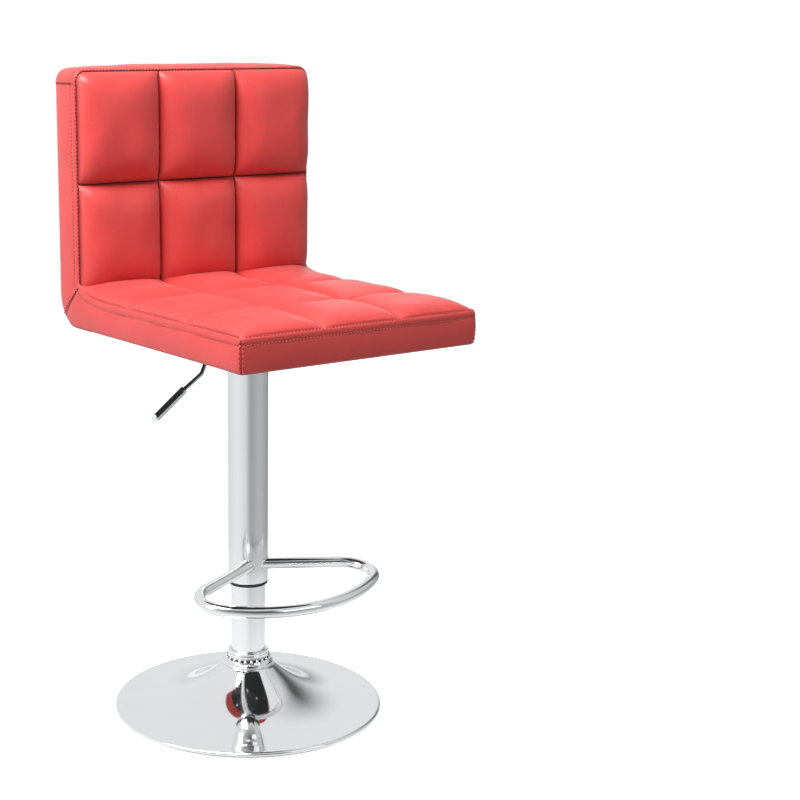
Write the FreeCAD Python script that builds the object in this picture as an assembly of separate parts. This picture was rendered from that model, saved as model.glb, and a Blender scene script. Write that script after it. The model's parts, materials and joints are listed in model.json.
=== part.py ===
"""Adjustable swivel bar stool with a quilted L-shaped seat, in millimetres.

Frame: origin on the floor under the swivel axis, +Z up, the sitter faces -Y, +X is the sitter's left.
The stool stands at its lowest height. Each function makes one sub-part at its place.
"""

import FreeCAD, Part
import math
import os

V = FreeCAD.Vector
UP = V(0, 0, 1)
ORIGIN = V(0, 0, 0)

# Driving dimensions: base
BASE_R = 192.5
PAD_R = 188.0
PAD_T = 3.0
SHEET_T = 1.5
DISH_EDGE_Z = 8.2
DISH_TOP_Z = 64.0
THROAT_R = 36.0
FLARE_POWER = 2.6
BALLAST_R = 118.0
BALLAST_T = 9.0
BALLAST_HOLE_R = 22.0
FLANGE_R = 60.0
FLANGE_T = 6.0
FLANGE_BOLT_PCR = 45.0
FLANGE_BOLT_HEX = 13.0
FLANGE_BOLT_HEAD = 5.3
BOLT_HOLE_FLOOR = 1.0
BOLT_TIP_GAP = 0.5
DISH_STEPS = 14
DISH_SPACING = 0.9
SLOPE_STEP = 0.1
RIM_NOSE_Z = 4.6
RIM_BEND_INSET = 1.1
RIM_BEND_Z = 7.1
COLLAR_GAP = 0.1
STUD_COUNT = 22
STUD_R = 2.4
STUD_PCR = 30.6
STUD_HEIGHT = 10.0
COLLAR_H = 22.5
COLLAR_SIDE = [
    (35.2, 0.0), (36.0, 0.8), (36.2, 1.8), (36.0, 2.8), (35.2, 3.6), (34.0, 4.2), (32.2, 6.5), (30.6, 9.5),
    (29.4, 13.0), (28.8, 16.6), (28.9, 17.4), (28.9, 21.3), (28.0, 22.5), (25.2, 22.5),
]
COLLAR_MOUTH_DROP = 0.6

# Driving dimensions: column, gas spring and swivel bearing
COLUMN_R = 24.5
COLUMN_WALL = 2.0
COLUMN_TOP_Z = 430.0
COVER_R = 28.4
COVER_WALL = 1.5
COVER_BOTTOM_Z = 190.0
COVER_TOP_Z = 528.0
RING_LIP = 4.5
CYLINDER_R = 14.0
CYLINDER_BORE_R = 12.5
CYLINDER_BOTTOM_Z = 75.0
CYLINDER_END_Z = 478.0
CONE_START_Z = 490.0
CONE_TOP_Z = 530.0
CONE_TOP_R = 13.0
ROD_R = 5.0
ROD_TOP_Z = 300.0
NECK_R = 4.0
RACE_T = 2.0
RACE_R = 16.0
BALL_R = 2.5
BALL_COUNT = 10
BALL_PCR = 11.0
RACE_BORE_R = 6.0
CAGE_OUTER_R = 15.0
CAGE_INNER_R = 7.2
CAGE_HALF_T = 1.0
POCKET_GAP = 0.1
BUMPER_R = 14.0
BUMPER_H = 12.0
BUSH_L = 70.0
BUSH_LIP_INSET = 0.3
BUSH_LIP_T = 3.0
ROD_FOOT = 4.0
NECK_LOW = 2.3
NECK_H = 1.6
CLIP_LOW = 2.2
CLIP_T = 1.4
CLIP_R = 9.0
CLIP_MOUTH = 2.5
PISTON_H = 16.0
SEAL_LOW = 6.0
SEAL_HIGH = 10.0
SEAL_INNER_R = 10.4
SEAL_GAP = 0.03
GLAND_H = 18.0
HUB_R = 21.0
SLOT_W = 9.0
SLOT_ROOF = 4.0
SLOT_SILL = 2.0
RING_GAP = 0.08
RING_INSERT = 25.0
RING_LIP_INSET = 0.2
ADAPTER_LOW = 6.0
ADAPTER_HIGH = 20.0
RUNNING = 0.05
AXIAL_GAP = 0.05

# Driving dimensions: release lever
LEVER_TURN_DEG = 20.0
LEVER_Z = 541.0
LEVER_ROD_R = 3.0
PIVOT_REACH = 30.0
EYE_R = 5.5
PIN_R = 2.0
CHEEK_GAP = 8.4
CHEEK_T = 2.2
GRIP_R = 5.5
LEVER_BENDS = [(-4.0, 541.0), (84.4, 541.0), (106.0, 507.4), (145.0, 492.2), (206.7, 463.6)]
GRIP_INSERT = 14.0
GRIP_EDGE_R = 1.2
CHEEK_HALF_L = 8.0
PIN_HEAD_R = 3.5
PIN_HEAD_T = 1.2
EYE_SIDE_GAP = 0.1
BUTTON_R = 4.0
BUTTON_BORE_DEPTH = 14.0
BUTTON_DEPTH = 9.0
BUTTON_GAP = 0.1
BUTTON_EDGE_R = 0.8

# Driving dimensions: footrest
BAR_R = 8.0
LOOP_ROOT_Z = 219.0
LOOP_FALL = 0.11
LOOP_REACH = 175.0
ARM_SPREAD_DEG = 23.0
ARM_START_Y = -16.0
LOOP_CORNER_R = 40.0
LOOP_FRONT_R = 200.0
COPE_DEPTH = 8.0
COPE_HEIGHT = 40.0
WELD_L = 14.0
WELD_FOOT_R = 13.0
WELD_TIP_R = 8.4

# Driving dimensions: seat and back
HALF_W = 187.0
SEAT_FRONT_Y = -262.0
BACK_FACE_Y = 132.0
BACK_REAR_Y = 186.0
UNDERSIDE_Z = 553.0
SEAM_Z = 597.0
BACK_TOP_Z = 907.0
HEEL_R = 45.0
TOP_CORNER_R = 17.0
FRONT_CORNER_R = 8.0
LEATHER = 2.5
CLOTH = 1.0
BOARD_T = 12.0
BACK_BOARD_INSET = 12.0
STEP_Y = 100.0
PANEL_RISE = 12.0
PANEL_TUCK = 2.0
PANEL_CORNER_R = 14.0
SHOULDER_SHARE = 0.6
PLATE_X = 82.0
PLATE_Y = 95.0
PLATE_T = 3.0
PLATE_FLANGE = 10.0
PLATE_CORNER_R = 10.0
FLANGE_INSET = 12.0
BOLT_X = 60.0
BOLT_Y = 75.0
BOLT_R = 4.0
BOLT_CLEARANCE = 0.3
PLATE_BOLT_HEX = 12.0
PLATE_BOLT_HEAD = 5.0
WASHER_R = 8.5
WASHER_T = 1.6
NUT_R = 5.2
NUT_FLOOR = 2.0
NUT_FLANGE_R = 10.0
NUT_FLANGE_T = 1.4
IRON_X = 100.0
IRON_W = 30.0
IRON_T = 3.0
IRON_BEND_R = 25.0
IRON_TOP_Z = 675.0
IRON_FRONT_Y = 70.0
SEAT_SCREW_Y = (85.0, 115.0)
BACK_SCREW_Z = (630.0, 660.0)
SCREW_R = 2.0
SCREW_L = 9.0
SCREW_HEAD_R = 4.0
SCREW_HEAD_TOP_R = 2.6
SCREW_HEAD_H = 2.2

# Reach of cutting tools, larger than anything they cut
FAR = 1000.0

# Heights and places worked out from the driving dimensions
BALLAST_TOP_Z = PAD_T + BALLAST_T
COLUMN_BORE_R = COLUMN_R - COLUMN_WALL
COLLAR_BORE_R = COLUMN_R + COLLAR_GAP
COLUMN_FLOOR_Z = BALLAST_TOP_Z + 4.0
BALL_Z = COLUMN_FLOOR_Z + RACE_T + AXIAL_GAP + BALL_R
UPPER_RACE_Z = BALL_Z + BALL_R + AXIAL_GAP
BUMPER_Z = UPPER_RACE_Z + RACE_T
COVER_BORE_R = COVER_R - COVER_WALL
PLATE_Z = UNDERSIDE_Z - PLATE_T
HUB_BOTTOM_Z = CONE_START_Z + 4.0
BOARD_Z = UNDERSIDE_Z + CLOTH
BOARD_TOP_Z = BOARD_Z + BOARD_T
INNER_W = HALF_W - LEATHER
REAR_IN_Y = BACK_REAR_Y - LEATHER
TOP_IN_Z = BACK_TOP_Z - LEATHER
HEEL_Y = REAR_IN_Y - HEEL_R + LEATHER
TURN = math.radians(LEVER_TURN_DEG)
LEVER_DIR = V(-math.cos(TURN), -math.sin(TURN), 0)
LEVER_SIDE = V(-math.sin(TURN), math.cos(TURN), 0)


def tube(outer, inner, low, high):
    """Vertical tube on the swivel axis."""
    body = Part.makeCylinder(outer, high - low, V(0, 0, low))
    return body.cut(Part.makeCylinder(inner, high - low, V(0, 0, low)))


def disc(radius, low, high, x=0.0, y=0.0):
    """Vertical solid cylinder."""
    return Part.makeCylinder(radius, high - low, V(x, y, low))


def box(low, high):
    """Box between two opposite corners."""
    return Part.makeBox(high[0] - low[0], high[1] - low[1], high[2] - low[2], V(*low))


def revolve(points):
    """Turn a closed outline of (radius, height) points about the swivel axis."""
    wire = Part.makePolygon([V(r, 0, z) for r, z in points + points[:1]])
    return Part.Face(wire).revolve(ORIGIN, UP, 360)


def union(shapes):
    """Join shapes that meet into one solid."""
    joined = shapes[0].multiFuse(shapes[1:])
    return joined.removeSplitter()


def around(count, radius, offset_deg=0.0):
    """Places on a circle about the swivel axis."""
    step = 2 * math.pi / count
    first = math.radians(offset_deg)
    return [(radius * math.cos(first + i * step), radius * math.sin(first + i * step)) for i in range(count)]


def dish_height(radius):
    """Height of the dish's upper skin at a radius."""
    share = (PAD_R - radius) / (PAD_R - THROAT_R)
    return DISH_EDGE_Z + (DISH_TOP_Z - DISH_EDGE_Z) * share ** FLARE_POWER


def floor_pad():
    return disc(PAD_R, 0, PAD_T)


def base_dish():
    """Spun trumpet sheet with a rolled edge and a flat collar seat at the throat."""
    outer = []
    inner = []
    for i in range(DISH_STEPS + 1):
        radius = THROAT_R + (PAD_R - THROAT_R) * (i / DISH_STEPS) ** DISH_SPACING
        slope = (dish_height(radius - SLOPE_STEP) - dish_height(radius)) / SLOPE_STEP
        lean = math.atan(slope)
        outer.append(V(radius, 0, dish_height(radius)))
        inner.append(V(radius - SHEET_T * math.sin(lean), 0, dish_height(radius) - SHEET_T * math.cos(lean)))
    skin = Part.BSplineCurve()
    skin.interpolate(outer)
    lining = Part.BSplineCurve()
    lining.interpolate(inner)
    nose = V(BASE_R, 0, RIM_NOSE_Z)
    bend = V(BASE_R - RIM_BEND_INSET, 0, RIM_BEND_Z)
    foot = V(BASE_R, 0, PAD_T)
    inner_foot = V(BASE_R - SHEET_T, 0, PAD_T)
    inner_nose = V(BASE_R - SHEET_T, 0, RIM_NOSE_Z)
    seat_top = V(COLLAR_BORE_R, 0, DISH_TOP_Z)
    seat_under = V(COLLAR_BORE_R, 0, DISH_TOP_Z - SHEET_T)
    throat_under = V(inner[0].x, 0, DISH_TOP_Z - SHEET_T)
    edges = [
        skin.toShape(),
        Part.Arc(outer[-1], bend, nose).toShape(),
        Part.makeLine(nose, foot),
        Part.makeLine(foot, inner_foot),
        Part.makeLine(inner_foot, inner_nose),
        Part.makeLine(inner_nose, inner[-1]),
        lining.toShape(),
        Part.makeLine(inner[0], throat_under),
        Part.makeLine(throat_under, seat_under),
        Part.makeLine(seat_under, seat_top),
        Part.makeLine(seat_top, outer[0]),
    ]
    wire = Part.Wire(Part.__sortEdges__(edges))
    return Part.Face(wire).revolve(ORIGIN, UP, 360)


def ballast_plate():
    """Cast weight with a well for the rod end and four tapped holes."""
    plate = disc(BALLAST_R, PAD_T, BALLAST_TOP_Z)
    plate = plate.cut(disc(BALLAST_HOLE_R, PAD_T, BALLAST_TOP_Z))
    for x, y in around(4, FLANGE_BOLT_PCR, 45):
        plate = plate.cut(disc(BOLT_R, PAD_T + BOLT_HOLE_FLOOR, BALLAST_TOP_Z, x, y))
    return plate


def column_flange():
    """Disc welded round the column's foot."""
    plate = tube(FLANGE_R, COLUMN_R, BALLAST_TOP_Z, BALLAST_TOP_Z + FLANGE_T)
    for x, y in around(4, FLANGE_BOLT_PCR, 45):
        plate = plate.cut(disc(BOLT_R, BALLAST_TOP_Z, BALLAST_TOP_Z + FLANGE_T, x, y))
    return plate


def hex_head(across, low, high, x, y):
    """Hexagonal bolt head."""
    corners = [V(x + dx, y + dy, low) for dx, dy in around(6, across / math.sqrt(3))]
    outline = Part.makePolygon(corners + corners[:1])
    return Part.Face(outline).extrude(V(0, 0, high - low))


def flange_bolts():
    """Four bolts from the flange into the ballast plate."""
    tip = PAD_T + BOLT_HOLE_FLOOR + BOLT_TIP_GAP
    top = BALLAST_TOP_Z + FLANGE_T
    bolts = []
    for x, y in around(4, FLANGE_BOLT_PCR, 45):
        head = hex_head(FLANGE_BOLT_HEX, top, top + FLANGE_BOLT_HEAD, x, y)
        bolts.append(union([disc(BOLT_R, tip, top, x, y), head]))
    return Part.makeCompound(bolts)


def pedestal_tube():
    """Fixed column: a drawn cup whose floor carries the swivel bearing."""
    cup = disc(COLUMN_R, BALLAST_TOP_Z, COLUMN_TOP_Z)
    cup = cup.cut(disc(COLUMN_BORE_R, COLUMN_FLOOR_Z, COLUMN_TOP_Z))
    return cup.cut(disc(ROD_R + RUNNING, BALLAST_TOP_Z, COLUMN_FLOOR_Z))


def guide_bush():
    """Plastic sleeve that guides the cylinder in the column's mouth."""
    sleeve = tube(COLUMN_BORE_R, CYLINDER_R + RUNNING, COLUMN_TOP_Z - BUSH_L, COLUMN_TOP_Z)
    lip_top = COLUMN_TOP_Z + BUSH_LIP_T
    lip = tube(COLUMN_R - BUSH_LIP_INSET, CYLINDER_R + RUNNING, COLUMN_TOP_Z, lip_top)
    return union([sleeve, lip])


def bearing_race_lower():
    return tube(RACE_R, RACE_BORE_R, COLUMN_FLOOR_Z, COLUMN_FLOOR_Z + RACE_T)


def bearing_balls():
    balls = [Part.makeSphere(BALL_R, V(x, y, BALL_Z)) for x, y in around(BALL_COUNT, BALL_PCR)]
    return Part.makeCompound(balls)


def ball_cage():
    """Ring with one pocket for each ball."""
    low = BALL_Z - CAGE_HALF_T
    high = BALL_Z + CAGE_HALF_T
    cage = tube(CAGE_OUTER_R, CAGE_INNER_R, low, high)
    for x, y in around(BALL_COUNT, BALL_PCR):
        cage = cage.cut(disc(BALL_R + POCKET_GAP, low, high, x, y))
    return cage


def bearing_race_upper():
    return tube(RACE_R, ROD_R, UPPER_RACE_Z, UPPER_RACE_Z + RACE_T)


def rubber_bumper():
    return tube(BUMPER_R, ROD_R, BUMPER_Z, BUMPER_Z + BUMPER_H)


def trim_collar():
    """Bell-shaped cover at the column's foot with a row of round studs."""
    side = [(radius, DISH_TOP_Z + height) for radius, height in COLLAR_SIDE]
    mouth = (COLLAR_BORE_R, DISH_TOP_Z + COLLAR_H - COLLAR_MOUTH_DROP)
    bell = revolve([(COLLAR_BORE_R, DISH_TOP_Z)] + side + [mouth])
    stud_z = DISH_TOP_Z + STUD_HEIGHT
    studs = [Part.makeSphere(STUD_R, V(x, y, stud_z)) for x, y in around(STUD_COUNT, STUD_PCR)]
    collar = bell.multiFuse(studs)
    return collar.cut(disc(COLLAR_BORE_R, DISH_TOP_Z - 1, DISH_TOP_Z + COLLAR_H + 1))


def piston_rod():
    """Rod with a neck for the clip at its foot and a tenon for the piston."""
    neck_z = BALLAST_TOP_Z - NECK_LOW
    return union([
        disc(ROD_R, BALLAST_TOP_Z - ROD_FOOT, neck_z),
        disc(NECK_R, neck_z, neck_z + NECK_H),
        disc(ROD_R, neck_z + NECK_H, ROD_TOP_Z),
        disc(NECK_R, ROD_TOP_Z, ROD_TOP_Z + PISTON_H),
    ])


def rod_clip():
    """Retaining clip in the rod's neck, open on one side."""
    low = BALLAST_TOP_Z - CLIP_LOW
    high = low + CLIP_T
    clip = tube(CLIP_R, NECK_R, low, high)
    return clip.cut(box((NECK_R / 2, -CLIP_MOUTH, low), (CLIP_R, CLIP_MOUTH, high)))


def piston():
    body = tube(CYLINDER_BORE_R - RUNNING, NECK_R, ROD_TOP_Z, ROD_TOP_Z + PISTON_H)
    return body.cut(tube(CYLINDER_BORE_R, SEAL_INNER_R, ROD_TOP_Z + SEAL_LOW, ROD_TOP_Z + SEAL_HIGH))


def piston_seal():
    return tube(CYLINDER_BORE_R - SEAL_GAP, SEAL_INNER_R, ROD_TOP_Z + SEAL_LOW, ROD_TOP_Z + SEAL_HIGH)


def gas_cylinder():
    """Pressure tube closed by a tapered head with a bore for the release button."""
    body = disc(CYLINDER_R, CYLINDER_BOTTOM_Z, CONE_START_Z)
    cone = Part.makeCone(CYLINDER_R, CONE_TOP_R, CONE_TOP_Z - CONE_START_Z, V(0, 0, CONE_START_Z))
    body = union([body, cone])
    body = body.cut(disc(CYLINDER_BORE_R, CYLINDER_BOTTOM_Z, CYLINDER_END_Z))
    return body.cut(disc(BUTTON_R + RUNNING, CONE_TOP_Z - BUTTON_BORE_DEPTH, CONE_TOP_Z))


def cylinder_gland():
    """Seal carrier at the cylinder's lower end, which the rod slides through."""
    return tube(CYLINDER_BORE_R, ROD_R + RUNNING, CYLINDER_BOTTOM_Z, CYLINDER_BOTTOM_Z + GLAND_H)


def release_button():
    pin = disc(BUTTON_R, CONE_TOP_Z - BUTTON_DEPTH, LEVER_Z - LEVER_ROD_R - BUTTON_GAP)
    return pin.makeFillet(BUTTON_EDGE_R, [pin.Edges[0]])


def cone_hub():
    """Socket welded under the seat plate, slotted on one side for the lever."""
    share = (HUB_BOTTOM_Z - CONE_START_Z) / (CONE_TOP_Z - CONE_START_Z)
    mouth = CYLINDER_R + (CONE_TOP_R - CYLINDER_R) * share
    hub = disc(HUB_R, HUB_BOTTOM_Z, PLATE_Z)
    hub = hub.cut(Part.makeCone(mouth, CONE_TOP_R, CONE_TOP_Z - HUB_BOTTOM_Z, V(0, 0, HUB_BOTTOM_Z)))
    hub = hub.cut(disc(CONE_TOP_R, CONE_TOP_Z, PLATE_Z))
    slot = box((0, -SLOT_W / 2, CONE_TOP_Z + SLOT_SILL), (HUB_R, SLOT_W / 2, PLATE_Z - SLOT_ROOF))
    slot.rotate(ORIGIN, UP, 180 + LEVER_TURN_DEG)
    return hub.cut(slot)


def cover_tube():
    return tube(COVER_R, COVER_BORE_R, COVER_BOTTOM_Z, COVER_TOP_Z)


def tube_ring():
    """Black sliding ring pressed into the cover tube's lower end."""
    bore = COLUMN_R + RING_GAP
    insert = tube(COVER_BORE_R, bore, COVER_BOTTOM_Z, COVER_BOTTOM_Z + RING_INSERT)
    lip = tube(COVER_R - RING_LIP_INSET, bore, COVER_BOTTOM_Z - RING_LIP, COVER_BOTTOM_Z)
    return union([insert, lip])


def tube_adapter():
    """Ring that fixes the cover tube round the socket."""
    return tube(COVER_BORE_R, HUB_R, HUB_BOTTOM_Z + ADAPTER_LOW, HUB_BOTTOM_Z + ADAPTER_HIGH)


def loop_path():
    """Centre line of the footrest: two arms, two corners and a bowed front, tangent all round."""
    spread = math.radians(ARM_SPREAD_DEG)
    along = V(math.cos(spread), -math.sin(spread), 0)
    inward = V(-math.sin(spread), -math.cos(spread), 0)
    start = V(0, ARM_START_Y, 0)
    front_centre = V(0, LOOP_FRONT_R - LOOP_REACH, 0)
    offset = start + inward * LOOP_CORNER_R - front_centre
    half_b = offset.dot(along)
    gap = offset.dot(offset) - (LOOP_FRONT_R - LOOP_CORNER_R) ** 2
    run = -half_b + math.sqrt(half_b ** 2 - gap)
    corner = start + inward * LOOP_CORNER_R + along * run
    arm_end = corner - inward * LOOP_CORNER_R
    outward = (corner - front_centre).normalize()
    front_start = corner + outward * LOOP_CORNER_R
    middle = (outward - inward).normalize()
    corner_middle = corner + middle * LOOP_CORNER_R
    return start, arm_end, corner_middle, front_start, along


def arm_exit():
    """Distance along an arm's centre line at which it leaves the cover tube."""
    lead = -ARM_START_Y * math.sin(math.radians(ARM_SPREAD_DEG))
    return math.sqrt(lead ** 2 + COVER_R ** 2 - ARM_START_Y ** 2) - lead


def tilt(shape):
    """Lower the loop towards its front and lift it to its root height."""
    shape.rotate(ORIGIN, V(1, 0, 0), math.degrees(math.atan(LOOP_FALL)))
    shape.translate(V(0, 0, LOOP_ROOT_Z))
    return shape


def cope(shape):
    """Cut a footrest piece back to the cover tube's skin."""
    return shape.cut(disc(COVER_R, LOOP_ROOT_Z - COPE_HEIGHT, LOOP_ROOT_Z + COPE_HEIGHT))


def mirror_x(point):
    return V(-point.x, point.y, point.z)


def footrest_loop():
    """Bent bar whose two ends are coped to the cover tube."""
    start, arm_end, corner_middle, front_start, along = loop_path()
    front = V(0, -LOOP_REACH, 0)
    root = start + along * (arm_exit() - COPE_DEPTH)
    edges = [
        Part.makeLine(root, arm_end),
        Part.Arc(arm_end, corner_middle, front_start).toShape(),
        Part.Arc(front_start, front, mirror_x(front_start)).toShape(),
        Part.Arc(mirror_x(front_start), mirror_x(corner_middle), mirror_x(arm_end)).toShape(),
        Part.makeLine(mirror_x(arm_end), mirror_x(root)),
    ]
    section = Part.Wire(Part.makeCircle(BAR_R, root, along))
    bar = Part.Wire(edges).makePipeShell([section], True, False)
    return cope(tilt(bar))


def footrest_welds():
    """Weld bead round each arm where it meets the cover tube."""
    start, arm_end, corner_middle, front_start, along = loop_path()
    beads = []
    for direction in (along, mirror_x(along)):
        foot = start + direction * (arm_exit() - COPE_DEPTH - 1)
        bead = Part.makeCone(WELD_FOOT_R, WELD_TIP_R, WELD_L, foot, direction)
        bead = bead.cut(Part.makeCylinder(BAR_R, arm_exit() + WELD_L, start, direction))
        beads.append(tilt(bead))
    return Part.makeCompound(cope(Part.makeCompound(beads)).Solids)


def plate_holes():
    return [(sx * BOLT_X, sy * BOLT_Y) for sx in (-1, 1) for sy in (-1, 1)]


def seat_plate():
    """Pressed steel plate with its front and rear edges turned down."""
    plate = box((-PLATE_X, -PLATE_Y, PLATE_Z), (PLATE_X, PLATE_Y, UNDERSIDE_Z))
    corners = [edge for edge in plate.Edges if abs(edge.tangentAt(0).z) > 0.9]
    plate = plate.makeFillet(PLATE_CORNER_R, corners)
    for side in (-1, 1):
        edge = sorted((side * PLATE_Y, side * (PLATE_Y - PLATE_T)))
        low = (FLANGE_INSET - PLATE_X, edge[0], PLATE_Z - PLATE_FLANGE)
        flange = box(low, (PLATE_X - FLANGE_INSET, edge[1], PLATE_Z))
        plate = plate.fuse(flange)
    for x, y in plate_holes():
        plate = plate.cut(disc(BOLT_R + BOLT_CLEARANCE, PLATE_Z, UNDERSIDE_Z, x, y))
    return plate.removeSplitter()


def along_lever(reach, side, z):
    """Point given by its reach along the lever, its offset sideways and its height."""
    point = LEVER_DIR * reach + LEVER_SIDE * side
    return V(point.x, point.y, z)


def lever_block(reach_low, reach_high, side_low, side_high, low, high):
    """Box square to the lever's direction."""
    block = Part.makeBox(reach_high - reach_low, side_high - side_low, high - low,
                         V(reach_low, -side_high, low))
    block.rotate(ORIGIN, UP, 180 + LEVER_TURN_DEG)
    return block


def cross_pin(radius, half):
    """Cylinder on the lever's pivot line, to both sides of the lever."""
    return Part.makeCylinder(radius, 2 * half, along_lever(PIVOT_REACH, -half, LEVER_Z), LEVER_SIDE)


def lever_bracket():
    """Two cheeks under the seat plate that carry the lever's pin."""
    cheeks = []
    for side in (-1, 1):
        near = side * CHEEK_GAP / 2
        far = side * (CHEEK_GAP / 2 + CHEEK_T)
        reach = (PIVOT_REACH - CHEEK_HALF_L, PIVOT_REACH + CHEEK_HALF_L)
        cheek = lever_block(*reach, min(near, far), max(near, far), LEVER_Z - CHEEK_HALF_L, PLATE_Z)
        cheeks.append(cheek.cut(cross_pin(PIN_R, CHEEK_GAP)))
    return Part.makeCompound(cheeks)


def lever_pin():
    """Pivot pin with a head on each side of the bracket."""
    half = CHEEK_GAP / 2 + CHEEK_T
    heads = cross_pin(PIN_HEAD_R, half + PIN_HEAD_T).cut(cross_pin(PIN_HEAD_R, half))
    return heads.fuse(cross_pin(PIN_R, half))


def bent_bar(points, radius):
    """Round bar through points, with a ball at each inner bend."""
    pieces = []
    for here, there in zip(points, points[1:]):
        run = there - here
        pieces.append(Part.makeCylinder(radius, run.Length, here, run))
    for bend in points[1:-1]:
        pieces.append(Part.makeSphere(radius, bend))
    return union(pieces)


def grip_ends():
    """The two ends of the grip's axis."""
    inner = along_lever(LEVER_BENDS[3][0], 0, LEVER_BENDS[3][1])
    outer = along_lever(LEVER_BENDS[4][0], 0, LEVER_BENDS[4][1])
    return inner, outer


def lever_rod():
    """Bent rod with a drilled eye on the pin; its inner end lies over the button."""
    inner, outer = grip_ends()
    along = (outer - inner).normalize()
    points = [along_lever(reach, 0, z) for reach, z in LEVER_BENDS[:4]]
    points.append(inner + along * GRIP_INSERT)
    rod = bent_bar(points, LEVER_ROD_R)
    rod = union([rod, cross_pin(EYE_R, CHEEK_GAP / 2 - EYE_SIDE_GAP)])
    return rod.cut(cross_pin(PIN_R + RUNNING, CHEEK_GAP))


def lever_grip():
    """Turned metal grip on the lever's outer end."""
    inner, outer = grip_ends()
    along = (outer - inner).normalize()
    grip = Part.makeCylinder(GRIP_R, (outer - inner).Length, inner, along)
    rims = [edge for edge in grip.Edges if edge.Curve.TypeId == "Part::GeomCircle"]
    grip = grip.makeFillet(GRIP_EDGE_R, rims)
    return grip.cut(Part.makeCylinder(LEVER_ROD_R, GRIP_INSERT, inner, along))


def plate_bolts():
    bolts = []
    for x, y in plate_holes():
        seat = PLATE_Z - WASHER_T
        head = hex_head(PLATE_BOLT_HEX, seat - PLATE_BOLT_HEAD, seat, x, y)
        shank = disc(BOLT_R, seat, BOARD_TOP_Z, x, y)
        bolts.append(union([head, shank]))
    return Part.makeCompound(bolts)


def plate_washers():
    rings = []
    for x, y in plate_holes():
        ring = disc(WASHER_R, PLATE_Z - WASHER_T, PLATE_Z, x, y)
        rings.append(ring.cut(disc(BOLT_R, PLATE_Z - WASHER_T, PLATE_Z, x, y)))
    return Part.makeCompound(rings)


def tee_nuts():
    """Barrel nuts let into the top of the seat board."""
    nuts = []
    for x, y in plate_holes():
        barrel = disc(NUT_R, BOARD_Z + NUT_FLOOR, BOARD_TOP_Z, x, y)
        top = BOARD_TOP_Z + NUT_FLANGE_T
        nut = union([barrel, disc(NUT_FLANGE_R, BOARD_TOP_Z, top, x, y)])
        nuts.append(nut.cut(disc(BOLT_R, BOARD_Z, top, x, y)))
    return Part.makeCompound(nuts)


def heel_face(inset, x):
    """Side outline of the L, set in from its outer skin, as a face at one x."""
    front = SEAT_FRONT_Y + inset
    low = UNDERSIDE_Z + inset
    rear = BACK_REAR_Y - inset
    top = BACK_TOP_Z - inset
    radius = HEEL_R - inset
    diagonal = radius * (1 - math.sqrt(0.5))
    corners = [V(x, rear, low + radius), V(x, rear, top), V(x, BACK_FACE_Y, top), V(x, BACK_FACE_Y, SEAM_Z),
               V(x, front, SEAM_Z), V(x, front, low), V(x, rear - radius, low)]
    arc = Part.Arc(corners[-1], V(x, rear - diagonal, low + diagonal), corners[0]).toShape()
    lines = [Part.makeLine(a, b) for a, b in zip(corners, corners[1:])]
    return Part.Face(Part.Wire(lines + [arc]))


def round_edges(block, radius, wanted):
    """Round the straight edges that a test picks out."""
    return block.makeFillet(radius, [edge for edge in block.Edges if wanted(edge)])


def is_top_corner(edge):
    centre = edge.CenterOfMass
    return abs(edge.tangentAt(edge.FirstParameter).y) > 0.9 and centre.z > BACK_TOP_Z - 5


def is_front_corner(edge):
    centre = edge.CenterOfMass
    return abs(edge.tangentAt(edge.FirstParameter).z) > 0.9 and centre.y < SEAT_FRONT_Y + 5


def heel_block(inset):
    """The whole L-shaped outer form, set in by a thickness."""
    half = HALF_W - inset
    block = heel_face(inset, -half).extrude(V(2 * half, 0, 0))
    block = round_edges(block, TOP_CORNER_R - inset, is_top_corner)
    return round_edges(block, FRONT_CORNER_R - inset, is_front_corner)


def band_core():
    """Space between the two side bands, rounded at the top and front corners."""
    core = box((-INNER_W, SEAT_FRONT_Y + LEATHER, 0), (INNER_W, FAR, TOP_IN_Z))
    core = round_edges(core, TOP_CORNER_R - LEATHER, is_top_corner)
    return round_edges(core, FRONT_CORNER_R - LEATHER, is_front_corner)


def side_band():
    """Leather boxing strip: both L-shaped sides, the seat's front and the back's top edge."""
    return heel_block(0).cut(band_core())


def rear_cover():
    """Leather over the back's rear, round the heel and onto the underside."""
    sheet = heel_block(0).cut(heel_block(LEATHER))
    keep = box((-INNER_W, STEP_Y, 0), (INNER_W, FAR, TOP_IN_Z))
    keep = round_edges(keep, TOP_CORNER_R - LEATHER, is_top_corner)
    keep = keep.cut(box((-HALF_W, 0, UNDERSIDE_Z + LEATHER), (HALF_W, HEEL_Y, FAR)))
    return sheet.common(keep)


def dust_cover():
    """Thin black cloth under the seat board."""
    sheet = box((-INNER_W, SEAT_FRONT_Y + LEATHER, UNDERSIDE_Z), (INNER_W, STEP_Y, BOARD_Z))
    sheet = round_edges(sheet, FRONT_CORNER_R - LEATHER, is_front_corner)
    for x, y in plate_holes():
        sheet = sheet.cut(disc(BOLT_R, UNDERSIDE_Z, BOARD_Z, x, y))
    return sheet


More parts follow.
